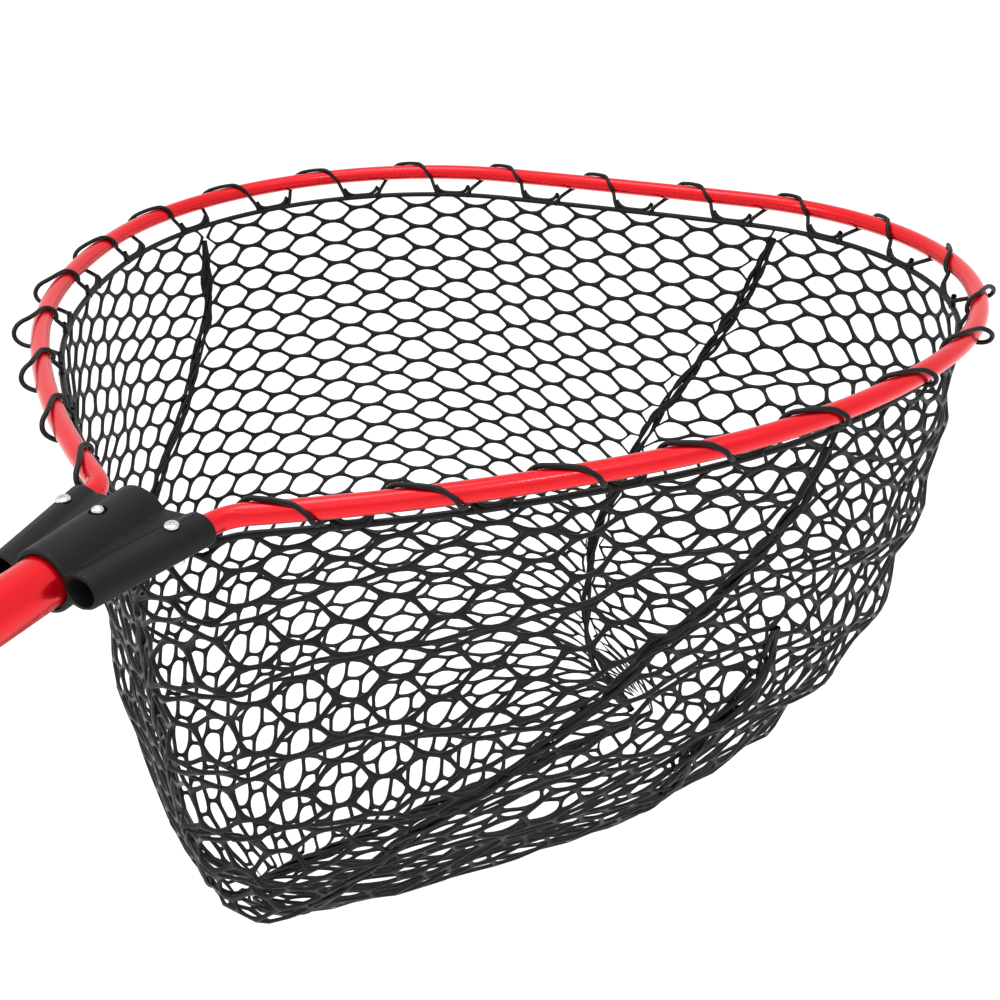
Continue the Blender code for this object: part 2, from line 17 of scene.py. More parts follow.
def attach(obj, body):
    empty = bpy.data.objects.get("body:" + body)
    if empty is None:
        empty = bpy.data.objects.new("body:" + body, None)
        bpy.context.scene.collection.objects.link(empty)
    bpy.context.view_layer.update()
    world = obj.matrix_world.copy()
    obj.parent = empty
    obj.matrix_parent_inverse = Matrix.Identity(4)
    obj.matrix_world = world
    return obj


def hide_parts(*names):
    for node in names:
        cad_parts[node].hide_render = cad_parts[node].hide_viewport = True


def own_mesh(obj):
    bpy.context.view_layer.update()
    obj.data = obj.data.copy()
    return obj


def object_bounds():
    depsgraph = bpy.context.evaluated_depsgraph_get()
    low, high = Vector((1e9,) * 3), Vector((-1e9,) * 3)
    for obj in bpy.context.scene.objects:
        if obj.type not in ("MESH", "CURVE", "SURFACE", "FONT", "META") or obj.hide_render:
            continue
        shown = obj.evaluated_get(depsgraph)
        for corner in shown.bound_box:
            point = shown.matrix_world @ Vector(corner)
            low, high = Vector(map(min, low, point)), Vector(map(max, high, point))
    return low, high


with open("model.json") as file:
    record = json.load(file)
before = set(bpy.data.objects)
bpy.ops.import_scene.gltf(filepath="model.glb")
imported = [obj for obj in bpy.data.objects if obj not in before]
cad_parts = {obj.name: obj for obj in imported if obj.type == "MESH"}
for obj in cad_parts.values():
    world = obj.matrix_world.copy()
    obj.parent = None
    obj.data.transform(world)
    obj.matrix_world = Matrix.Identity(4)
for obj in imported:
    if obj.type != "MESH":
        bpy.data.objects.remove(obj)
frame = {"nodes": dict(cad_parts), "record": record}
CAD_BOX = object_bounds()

MM = 0.001
DEG = math.pi / 180.0
UP = np.array([0.0, 0.0, 1.0])
MOUTH_RUN = 2100.0             # about the mouth ring's length, to turn places into millimetres
ROUTE_DEPTH = 500.0            # about the walls' length, to turn depth shares into millimetres
log = logging.getLogger("landing_net")


class Body(Enum):
    """The bodies of the frame that pieces ride on."""

    GRIP = "grip"
    COLLAR = "lock_collar"
    HEAD = "net_head"
    BUTTON = "button"


# ---- materials --------------------------------------------------------------------------------
class Value:
    """One output of a shader node, with arithmetic that adds Math nodes."""

    def __init__(self, graph: "Graph", socket: bpy.types.NodeSocket) -> None:
        """Wrap a socket of a graph."""
        self.graph = graph
        self.socket = socket

    def _math(self, operation: str, *terms: "Value | float") -> "Value":
        """Add a Math node over the terms."""
        return self.graph.node("ShaderNodeMath", {"operation": operation},
                               dict(enumerate(terms)))

    def __add__(self, other: "Value | float") -> "Value":
        """Sum."""
        return self._math("ADD", self, other)

    __radd__ = __add__

    def __mul__(self, other: "Value | float") -> "Value":
        """Product."""
        return self._math("MULTIPLY", self, other)

    __rmul__ = __mul__


class Graph:
    """A material's node tree around one Principled shader."""

    def __init__(self, name: str) -> None:
        """Start an empty material."""
        self.material = bpy.data.materials.new(name)
        self.material.use_nodes = True
        self.tree = self.material.node_tree
        self.shader = self.tree.nodes["Principled BSDF"]

    def node(self, kind: str, settings: dict | None = None, inputs: dict | None = None,
             output: int | str = 0) -> Value:
        """Add a node.

        Args:
            kind: The node's type.
            settings: Its properties.
            inputs: Values or links of its sockets, by name or number.
            output: The output to return.

        Returns:
            The output as a Value.
        """
        made = self.tree.nodes.new(kind)
        for key, value in (settings or {}).items():
            setattr(made, key, value)
        for key, value in (inputs or {}).items():
            self.feed(made.inputs[key], value)
        return Value(self, made.outputs[output])

    def feed(self, socket: bpy.types.NodeSocket, value: "Value | float | tuple") -> None:
        """Set or link one socket."""
        if isinstance(value, Value):
            self.tree.links.new(value.socket, socket)
        else:
            socket.default_value = value

    def set(self, **inputs: "Value | float | tuple") -> None:
        """Set or link the shader's sockets, an underscore standing for a space."""
        for key, value in inputs.items():
            self.feed(self.shader.inputs[key.replace("_", " ")], value)

    def place(self) -> Value:
        """Object coordinates."""
        return self.node("ShaderNodeTexCoord", output="Object")

    def noise(self, where: Value, scale: float, detail: float = 3.0,
              stretch: tuple[float, float, float] = (1.0, 1.0, 1.0)) -> Value:
        """Noise from 0 to 1 over a stretched place."""
        at = self.node("ShaderNodeMapping", {}, {"Vector": where, "Scale": stretch})
        return self.node("ShaderNodeTexNoise", {}, {"Vector": at, "Scale": scale,
                                                    "Detail": detail})

    def blend(self, mask: Value, low: tuple, high: tuple) -> Value:
        """Mix two colours by a mask."""
        return self.node("ShaderNodeMix", {"data_type": "RGBA"},
                         {0: mask, 6: (*low, 1.0), 7: (*high, 1.0)}, output=2)

    def bump(self, height: Value, depth: float, strength: float = 1.0) -> Value:
        """A normal bent by a height, in metres of depth."""
        return self.node("ShaderNodeBump", {}, {"Height": height, "Distance": depth,
                                                "Strength": strength})


@dataclass(frozen=True)
class AnodisedRed:
    """Dyed anodised aluminium: drawn tube with fine lines along it under a clear seal."""

    slot: str = "red_anodised"
    colour: tuple = (0.84, 0.002, 0.012)
    deep: tuple = (0.66, 0.001, 0.006)

    def build(self) -> bpy.types.Material:
        """Make the material."""
        g = Graph("red_anodised")
        lines = g.noise(g.place(), 900.0, 2.0, (0.02, 1.0, 1.0))
        cloud = g.noise(g.place(), 9.0, 2.0)
        g.set(Base_Color=g.blend(cloud, self.deep, self.colour), Metallic=0.62,
              Roughness=0.20 + 0.08 * lines, Coat_Weight=0.18, Coat_Roughness=0.05,
              Normal=g.bump(lines, 0.00002, 0.5))
        return g.material


@dataclass(frozen=True)
class MouldedBlack:
    """Glass-filled nylon from a lightly etched mould."""

    slot: str = "black_plastic"
    colour: tuple = (0.0070, 0.0070, 0.0074)
    pale: tuple = (0.0115, 0.0115, 0.0120)

    def build(self) -> bpy.types.Material:
        """Make the material."""
        g = Graph("black_plastic")
        grain = g.noise(g.place(), 1500.0, 3.0)
        cloud = g.noise(g.place(), 45.0, 4.0)
        g.set(Base_Color=g.blend(cloud, self.colour, self.pale), Specular_IOR_Level=0.13,
              Roughness=0.38 + 0.14 * cloud, Normal=g.bump(grain, 0.00006, 0.55))
        return g.material


@dataclass(frozen=True)
class CoatedNetting:
    """Knotless netting dipped in black rubber, a little glossy."""

    slot: str = "net_rubber"
    colour: tuple = (0.0014, 0.0014, 0.0016)
    pale: tuple = (0.0052, 0.0052, 0.0057)

    def build(self) -> bpy.types.Material:
        """Make the material."""
        g = Graph("net_rubber")
        skin = g.noise(g.place(), 420.0, 3.0)
        cloud = g.noise(g.place(), 30.0, 3.0)
        g.set(Base_Color=g.blend(cloud, self.colour, self.pale),
              Roughness=0.34 + 0.20 * cloud, Specular_IOR_Level=0.22,
              Normal=g.bump(skin, 0.00025, 0.4))
        return g.material


@dataclass(frozen=True)
class GripFoam:
    """Closed-cell foam with a fine open grain."""

    slot: str = "grip_foam"

    def build(self) -> bpy.types.Material:
        """Make the material."""
        g = Graph("grip_foam")
        cells = g.node("ShaderNodeTexVoronoi", {"feature": "SMOOTH_F1"},
                       {"Vector": g.place(), "Scale": 1100.0})
        cloud = g.noise(g.place(), 60.0, 4.0)
        g.set(Base_Color=g.blend(cloud, (0.017, 0.017, 0.018), (0.034, 0.034, 0.036)),
              Roughness=0.82 + 0.12 * cloud, Normal=g.bump(cells + 0.6 * cloud, 0.0003, 0.6))
        return g.material


@dataclass(frozen=True)
class PlatedSteel:
    """Bright nickel-plated steel with light turning marks."""

    slot: str = "bright_steel"

    def build(self) -> bpy.types.Material:
        """Make the material."""
        g = Graph("bright_steel")
        marks = g.noise(g.place(), 2200.0, 2.0, (1.0, 0.2, 1.0))
        g.set(Base_Color=g.blend(marks, (0.62, 0.62, 0.61), (0.80, 0.80, 0.79)), Metallic=1.0,
              Roughness=0.16 + 0.14 * marks, Normal=g.bump(marks, 0.00002, 0.5))
        return g.material


@dataclass(frozen=True)
class Acetal:
    """Natural acetal, waxy and pale."""

    slot: str = "acetal"

    def build(self) -> bpy.types.Material:
        """Make the material."""
        g = Graph("acetal")
        cloud = g.noise(g.place(), 70.0, 3.0)
        g.set(Base_Color=g.blend(cloud, (0.70, 0.70, 0.66), (0.78, 0.78, 0.75)),
              Roughness=0.36 + 0.1 * cloud)
        return g.material


class Finishes:
    """Every finish once, looked up by the record's slot."""

    def __init__(self) -> None:
        """Build all the materials."""
        kinds = (AnodisedRed(), MouldedBlack(), CoatedNetting(), GripFoam(), PlatedSteel(), Acetal())
        self.by_slot = {kind.slot: kind.build() for kind in kinds}

    def dress_frame(self) -> None:
        """Give every node of the frame its finish."""
        for part in frame["record"]["subparts"]:
            piece = frame["nodes"][part["node"]]
            piece.data.materials.clear()
            piece.data.materials.append(self.by_slot[part["material_slot"]])


# ---- meshes -------------------------------------------------------------------------------------
def unit(vectors: np.ndarray) -> np.ndarray:
    """Vectors scaled to length one along the last axis."""
    return vectors / np.maximum(np.linalg.norm(vectors, axis=-1, keepdims=True), 1e-9)


def smoothstep(value: np.ndarray | float) -> np.ndarray:
    """The cubic 3 v^2 - 2 v^3 of a value held between 0 and 1."""
    held = np.clip(value, 0.0, 1.0)
    return held * held * (3.0 - 2.0 * held)


def resample(points: np.ndarray, count: int, closed: bool = False) -> np.ndarray:
    """Points at even steps of arc length along a polyline."""
    if closed:
        points = np.vstack([points, points[:1]])
    run = np.r_[0.0, np.cumsum(np.linalg.norm(np.diff(points, axis=0), axis=1))]
    at = np.linspace(0.0, run[-1], count, endpoint=not closed)
    return np.column_stack([np.interp(at, run, points[:, k]) for k in range(points.shape[1])])


def rounded(profile: list[tuple[float, float]], radius: float, steps: int = 3,
            closed: bool = False) -> np.ndarray:
    """A polyline whose corners are eased.

    Each corner P becomes the quadratic curve from a point `radius` before it to one `radius` after
    it, with P as its control point; the reach is at most 0.45 of the shorter neighbouring side.
    """
    points = np.array(profile, float)
    before, after = np.roll(points, 1, 0), np.roll(points, -1, 0)
    reach_in = np.linalg.norm(before - points, axis=1)
    reach_out = np.linalg.norm(after - points, axis=1)
    reach = np.minimum(radius, 0.45 * np.minimum(reach_in, reach_out))[:, None]
    start = points + unit(before - points) * reach
    end = points + unit(after - points) * reach
    t = np.linspace(0.0, 1.0, steps + 1)[None, :, None]
    curve = (start[:, None] * (1 - t) ** 2 + points[:, None] * 2 * t * (1 - t)
             + end[:, None] * t ** 2)
    if closed:
        return curve.reshape(-1, 2)
    return np.vstack([points[:1], curve[1:-1].reshape(-1, 2), points[-1:]])


def mesh_piece(name: str, points: np.ndarray, faces: np.ndarray, finish: bpy.types.Material,
               body: Body, nodes: tuple[str, ...] = (), sharp: float = 180.0) -> bpy.types.Object:
    """Make a finished piece.

    Args:
        name: The piece's name.
        points: Vertices in millimetres, one row each.
        faces: Quads or triangles, one row each; a quad may repeat an index.
        finish: Its material.
        body: The body it rides on.
        nodes: Nodes of the frame that it stands for.
        sharp: Angle above which an edge is shaded sharp, in degrees.

    Returns:
        The object.
    """
    mesh = bpy.data.meshes.new(name)
    sides = faces.shape[1]
    mesh.vertices.add(len(points))
    mesh.vertices.foreach_set("co", (points * MM).astype(np.float32).ravel())
    mesh.loops.add(faces.size)
    mesh.loops.foreach_set("vertex_index", faces.astype(np.int32).ravel())
    mesh.polygons.add(len(faces))
    mesh.polygons.foreach_set("loop_start", np.arange(0, faces.size, sides, dtype=np.int32))
    mesh.update(calc_edges=True)
    mesh.validate()
    mesh.shade_smooth()
    if sharp < 180.0:
        mesh.set_sharp_from_angle(angle=sharp * DEG)
    mesh.materials.append(finish)
    made = bpy.data.objects.new(name, mesh)
    bpy.context.scene.collection.objects.link(made)
    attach(made, body.value)
    if nodes:
        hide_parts(*nodes)
    log.info("%s: %d faces on %s", name, len(faces), body.value)
    return made


def grid_faces(rows: int, columns: int, wrap_rows: bool = False) -> np.ndarray:
    """Quads of a grid whose columns close round on themselves."""
    last = rows if wrap_rows else rows - 1
    i, k = np.meshgrid(np.arange(last), np.arange(columns), indexing="ij")
    n, j = (k + 1) % columns, (i + 1) % rows
    return np.stack([i * columns + k, i * columns + n, j * columns + n, j * columns + k],
                    -1).reshape(-1, 4)


def capped(points: np.ndarray, rows: int, columns: int) -> tuple[np.ndarray, np.ndarray]:
    """Faces and points of a tube grid with a centre point and a fan on each end."""
    faces = grid_faces(rows, columns)
    first, last = points[:columns].mean(0), points[-columns:].mean(0)
    k = np.arange(columns)
    n = (k + 1) % columns
    a, b = len(points), len(points) + 1
    base = (rows - 1) * columns
    start = np.stack([np.full(columns, a), n, k, k], -1)
    end = np.stack([np.full(columns, b), base + k, base + n, base + n], -1)
    return np.vstack([points, first, last]), np.vstack([faces, start, end])


def tube_rings(path: np.ndarray, tangent: np.ndarray, side: np.ndarray, radius: np.ndarray | float,
               sides: int) -> np.ndarray:
    """A tube's rings: path + r (side cos a + over sin a), over being square to tangent and side."""
    over = np.cross(side, tangent)
    angle = np.arange(sides) * 2 * math.pi / sides
    r = np.broadcast_to(radius, len(path))[:, None, None]
    ring = side[:, None] * np.cos(angle)[:, None] + over[:, None] * np.sin(angle)[:, None]
    return (path[:, None] + r * ring).reshape(-1, 3)


def tube_points(path: np.ndarray, radius: np.ndarray | float, sides: int,
                up: np.ndarray | None = None) -> np.ndarray:
    """A tube whose side vector is square to the path and to up."""
    tangent = unit(np.gradient(path, axis=0))
    guide = np.broadcast_to(UP if up is None else up, path.shape)
    return tube_rings(path, tangent, unit(np.cross(tangent, guide)), radius, sides)


def carried_tube(path: np.ndarray, radius: np.ndarray | float, sides: int) -> np.ndarray:
    """A tube on a twisting path: its side vector is carried from ring to ring by projection."""
    tangent = unit(np.gradient(path, axis=0))
    side = np.empty_like(path)
    held = unit(np.cross(tangent[0], np.array([0.31, 0.52, 0.79])))
    for i, ahead in enumerate(tangent):
        held = unit(held - ahead * (held @ ahead))
        side[i] = held
    return tube_rings(path, tangent, side, radius, sides)


def smooth_path(points: np.ndarray, count: int) -> np.ndarray:
    """A Catmull-Rom curve through the points, read at even steps of arc length."""
    ends = np.vstack([2 * points[0] - points[1], points, 2 * points[-1] - points[-2]])
    t = np.linspace(0.0, 1.0, 12, endpoint=False)[:, None]
    a, b, c, d = ends[:-3, None], ends[1:-2, None], ends[2:-1, None], ends[3:, None]
    curve = 0.5 * (2 * b + (c - a) * t + (2 * a - 5 * b + 4 * c - d) * t ** 2
                   + (3 * b - a - 3 * c + d) * t ** 3)
    return resample(np.vstack([curve.reshape(-1, points.shape[1]), points[-1:]]), count)


def merge(parts: list[tuple[np.ndarray, np.ndarray]]) -> tuple[np.ndarray, np.ndarray]:
    """Join separate point and face arrays into one pair."""
    shifts = np.cumsum([0] + [len(points) for points, _ in parts[:-1]])
    return (np.vstack([points for points, _ in parts]),
            np.vstack([faces + shift for (_, faces), shift in zip(parts, shifts)]))


def turned(profile: np.ndarray, sides: int, flutes: int = 0, depth: float = 0.0,
           crown: float = 0.0) -> np.ndarray:
    """A profile of (x, r) points turned round the X axis.

    Where r is above the crown radius it is multiplied by 1 - depth (0.5 + 0.5 cos(flutes a)).
    """
    angle = np.arange(sides) * 2 * math.pi / sides
    wave = 1.0 - depth * (0.5 + 0.5 * np.cos(flutes * angle))
    r = profile[:, 1:2] * np.where(profile[:, 1:2] > crown, wave[None], 1.0)
    x = np.broadcast_to(profile[:, :1], r.shape)
    return np.stack([x, r * np.sin(angle), r * np.cos(angle)], -1).reshape(-1, 3)


def oriented(points: np.ndarray, faces: np.ndarray) -> np.ndarray:
    """The faces, turned round if the closed shape they make has a negative volume."""
    a, b, c, d = (points[faces[:, k]] for k in range(4))
    volume = (np.cross(b - a, c - a) * a).sum() + (np.cross(c - a, d - a) * a).sum()
    return faces if volume > 0 else faces[:, ::-1]


def ripple(u: np.ndarray, v: np.ndarray, seed: int, waves: int = 7,
           shortest: float = 45.0, longest: float = 220.0) -> np.ndarray:
    """A smooth field about -1 to 1: a sum of seeded plane waves over two lengths in millimetres."""
    draw = np.random.default_rng(seed)
    total = np.zeros(np.broadcast(u, v).shape)
    for _ in range(waves):
        length = shortest * (longest / shortest) ** draw.random()
        heading, phase = draw.random(2) * 2 * math.pi
        total += np.sin((u * math.cos(heading) + v * math.sin(heading)) * 2 * math.pi / length + phase)
    return total / math.sqrt(waves)


# ---- hoop ---------------------------------------------------------------------------------------
@dataclass
class HoopOutline:
    """The hoop's centre line: two straight legs and a tangent run of arcs on each side.

    Every arc starts where the one before ends, with the same heading.  The front arc's radius is
    the one that brings the tube square across the axis: y over the sine of the angle left to turn.
    """

    leg: tuple[float, float] = (594.6, 39.7)
    tube_end: float = 528.0
    flare: float = 11.0
    arcs: tuple = ((28.0, 58.0), (875.0, 43.0), (446.0, 13.7), (232.5, -88.5))
    radius: float = 6.35
    lacing_start: float = 598.0    # X where running lengths along the hoop begin
    mouth_start: float = 602.0     # X where the mouth ring closes in front of the yoke

    def half(self, steps: int = 44) -> np.ndarray:
        """The left half, from inside its sleeve to the middle of the front, as (x, y) rows."""
        x, y = self.leg
        heading = self.flare * DEG
        back = (x - self.tube_end) * np.linspace(1.0, 0.0, 12)
        runs = [np.column_stack([x - back, y - back * math.tan(heading)])]
        for radius, target in self.arcs + ((None, -90.0),):
            target = target * DEG
            radius = radius or y / math.sin(math.pi / 2 + heading)
            turn = 1.0 if target > heading else -1.0
            cx, cy = x - turn * radius * math.sin(heading), y + turn * radius * math.cos(heading)
            a = np.linspace(heading, target, steps + 1)[1:]
            runs.append(np.column_stack([cx + turn * radius * np.sin(a),
                                         cy - turn * radius * np.cos(a)]))
            x, y = runs[-1][-1]
            heading = target
        return np.vstack(runs)

    def line(self) -> np.ndarray:
        """The whole centre line, left sleeve to right sleeve, in the plane Z = 0."""
        left = self.half()
        both = np.vstack([left, left[-2::-1] * [1, -1]])
        return np.column_stack([both, np.zeros(len(both))])

    def outside(self) -> tuple[np.ndarray, np.ndarray]:
        """The stretch in front of the yoke and its running length."""
        line = resample(self.line(), 4000)
        line = line[line[:, 0] > self.lacing_start]
        return line, np.r_[0.0, np.cumsum(np.linalg.norm(np.diff(line, axis=0), axis=1))]


@dataclass
class Hoop:
    """The hoop's tube, with the small pinch that bending leaves inside its two tight bends."""

    outline: HoopOutline
    finish: bpy.types.Material
    sides: int = 40
    pinch: float = 1.3
    pinch_length: float = 6.0

    def build(self) -> bpy.types.Object:
        """Sweep the tube; its wall on the bends' inner side is drawn in by a Gaussian pinch."""
        path = self.outline.line()
        tangent = unit(np.gradient(path, axis=0))
        side = unit(np.cross(tangent, UP))
        angle = np.arange(self.sides) * 2 * math.pi / self.sides
        centre = np.array(self.outline.leg)
        run = np.r_[0.0, np.cumsum(np.linalg.norm(np.diff(path, axis=0), axis=1))]
        r = np.full((len(path), self.sides), self.outline.radius)
        for sign in (1, -1):
            bend = run[np.argmin(np.hypot(path[:, 0] - centre[0] - 10.0,
                                          path[:, 1] - sign * (centre[1] + 4.5)))]
            near = np.exp(-((run - bend) / self.pinch_length) ** 2)[:, None]
            inner = np.exp(-((np.cos(angle) + 1.0) / 0.28) ** 2)[None]
            r = r - self.pinch * near * inner
        ring = (side[:, None] * np.cos(angle)[:, None] + UP * np.sin(angle)[:, None])
        points = (path[:, None] + r[..., None] * ring).reshape(-1, 3)
        points, faces = capped(points, len(path), self.sides)
        faces = oriented(points, faces)
        return mesh_piece("hoop", points, faces, self.finish, Body.HEAD, ("hoop_tube",))


# ---- netting ------------------------------------------------------------------------------------
@dataclass
class Bag:
    """The bag's surface: wall lines that hang from the mouth ring to a keel seam along the bottom.

    The mouth is the hoop's line moved inwards.  Each wall line is a quarter superellipse between
    its mouth point and its keel point: across cos(t) ** e, down sin(t) ** e.
    """

    outline: HoopOutline
    inset: float = 11.0
    mouth_z: float = -18.0
    keel_rear: tuple = (705.0, 68.0, -382.0)
    keel_front: tuple = (1020.0, -120.0, -385.0)
    keel_reach: tuple = (640.0, 1210.0)
    fullness: tuple = (0.85, 0.38, 0.62, 1.0, 1.3, 1.25, 0.82, 0.84)
    places: int = 720
    step: float = 3.0
    walls: np.ndarray = field(init=False)
    reach: np.ndarray = field(init=False)

    def __post_init__(self) -> None:
        """Work out the wall lines, as walls[place][depth step] with reach[place] their lengths."""
        mouth = self.mouth()
        x0, x1 = self.keel_reach
        share = smoothstep((mouth[:, 0] - x0) / (x1 - x0))
        rear, front = np.array(self.keel_rear), np.array(self.keel_front)
        keel = rear + share[:, None] * (front - rear)
        place = np.arange(self.places) / self.places
        knots = np.arange(len(self.fullness))[:, None]
        away = (place * len(self.fullness) - knots + 4) % 8 - 4
        bell = 0.5 + 0.5 * np.cos(np.clip(away, -1, 1) * math.pi)
        power = (np.array(self.fullness)[:, None] * bell).sum(0)[:, None]
        t = np.linspace(0, 1, 160) ** 2
        t = np.r_[t / 2, 1 - t[-2::-1] / 2] * math.pi / 2
        across = np.clip(np.cos(t), 0, 1)[None] ** power
        down = np.sin(t)[None] ** power
        lines = np.empty((self.places, len(t), 3))
        lines[..., :2] = keel[:, None, :2] + (mouth - keel)[:, None, :2] * across[..., None]
        lines[..., 2] = mouth[:, 2:] + (keel - mouth)[:, 2:] * down
        run = np.cumsum(np.linalg.norm(np.diff(lines, axis=1, prepend=lines[:, :1]), axis=2), axis=1)
        self.reach = run[:, -1]
        depth = np.arange(0.0, self.reach.max() + 2 * self.step, self.step)
        self.walls = np.stack([
            np.column_stack([np.interp(depth, run[i], lines[i, :, k]) for k in range(3)])
            for i in range(self.places)])

    def mouth(self) -> np.ndarray:
        """The mouth ring, from the middle in front of the yoke round over the left side."""
        line = self.outline.line()[:, :2]
        heading = unit(np.gradient(line, axis=0))
        line = line + self.inset * np.column_stack([heading[:, 1], -heading[:, 0]])
        line = line[line[:, 0] > self.outline.mouth_start]
        dense = resample(line, 2400, closed=True)
        start = np.argmin(np.where(abs(dense[:, 1]) < 1.0, dense[:, 0], 1e9))
        ring = resample(np.roll(dense, -start, 0), self.places, closed=True)
        return np.column_stack([ring, np.full(self.places, self.mouth_z)])

    def at(self, place: np.ndarray, depth: np.ndarray) -> np.ndarray:
        """Points at places round the mouth (0 to 1) and depths down the wall, bilinear."""
        a = (place % 1.0) * self.places
        b = np.clip(depth / self.step, 0, self.walls.shape[1] - 1.001)
        i, j = np.floor(a).astype(int) % self.places, np.floor(b).astype(int)
        n = (i + 1) % self.places
        f, g = (a % 1.0)[..., None], (b - j)[..., None]
        return ((self.walls[i, j] * (1 - g) + self.walls[i, j + 1] * g) * (1 - f)
                + (self.walls[n, j] * (1 - g) + self.walls[n, j + 1] * g) * f)

    def normal(self, place: np.ndarray, depth: np.ndarray) -> np.ndarray:
        """The surface's normal: along the ring crossed with down the wall."""
        along = self.at(place + 0.006, depth) - self.at(place - 0.006, depth)
        below = self.at(place, depth + 6.0) - self.at(place, depth - 6.0)
        return unit(np.cross(along, below))

    def length(self, place: np.ndarray) -> np.ndarray:
        """The wall's length at places."""
        at = np.arange(self.places + 1) / self.places
        return np.interp(place % 1.0, at, np.r_[self.reach, self.reach[:1]])


@dataclass
class Fold:
    """How loosely one panel hangs."""

    swell: float = 2.0            # height of the broad waves, along the normal
    pleat: float = 0.0            # height of the level pleats
    pleat_pitch: float = 74.0     # their spacing down the wall
    slant: float = 0.15           # how much they fall along the wall
    bunch: float = 0.0            # how far rows are drawn together by the pleats
    jitter: float = 1.0           # how far single knots wander
    seed: int = 1


def seam_place(seam: tuple, share: np.ndarray) -> np.ndarray:
    """A seam's place round the mouth at shares of the wall's depth."""
    places, shares = np.array(seam).T
    return np.interp(share, shares, places)


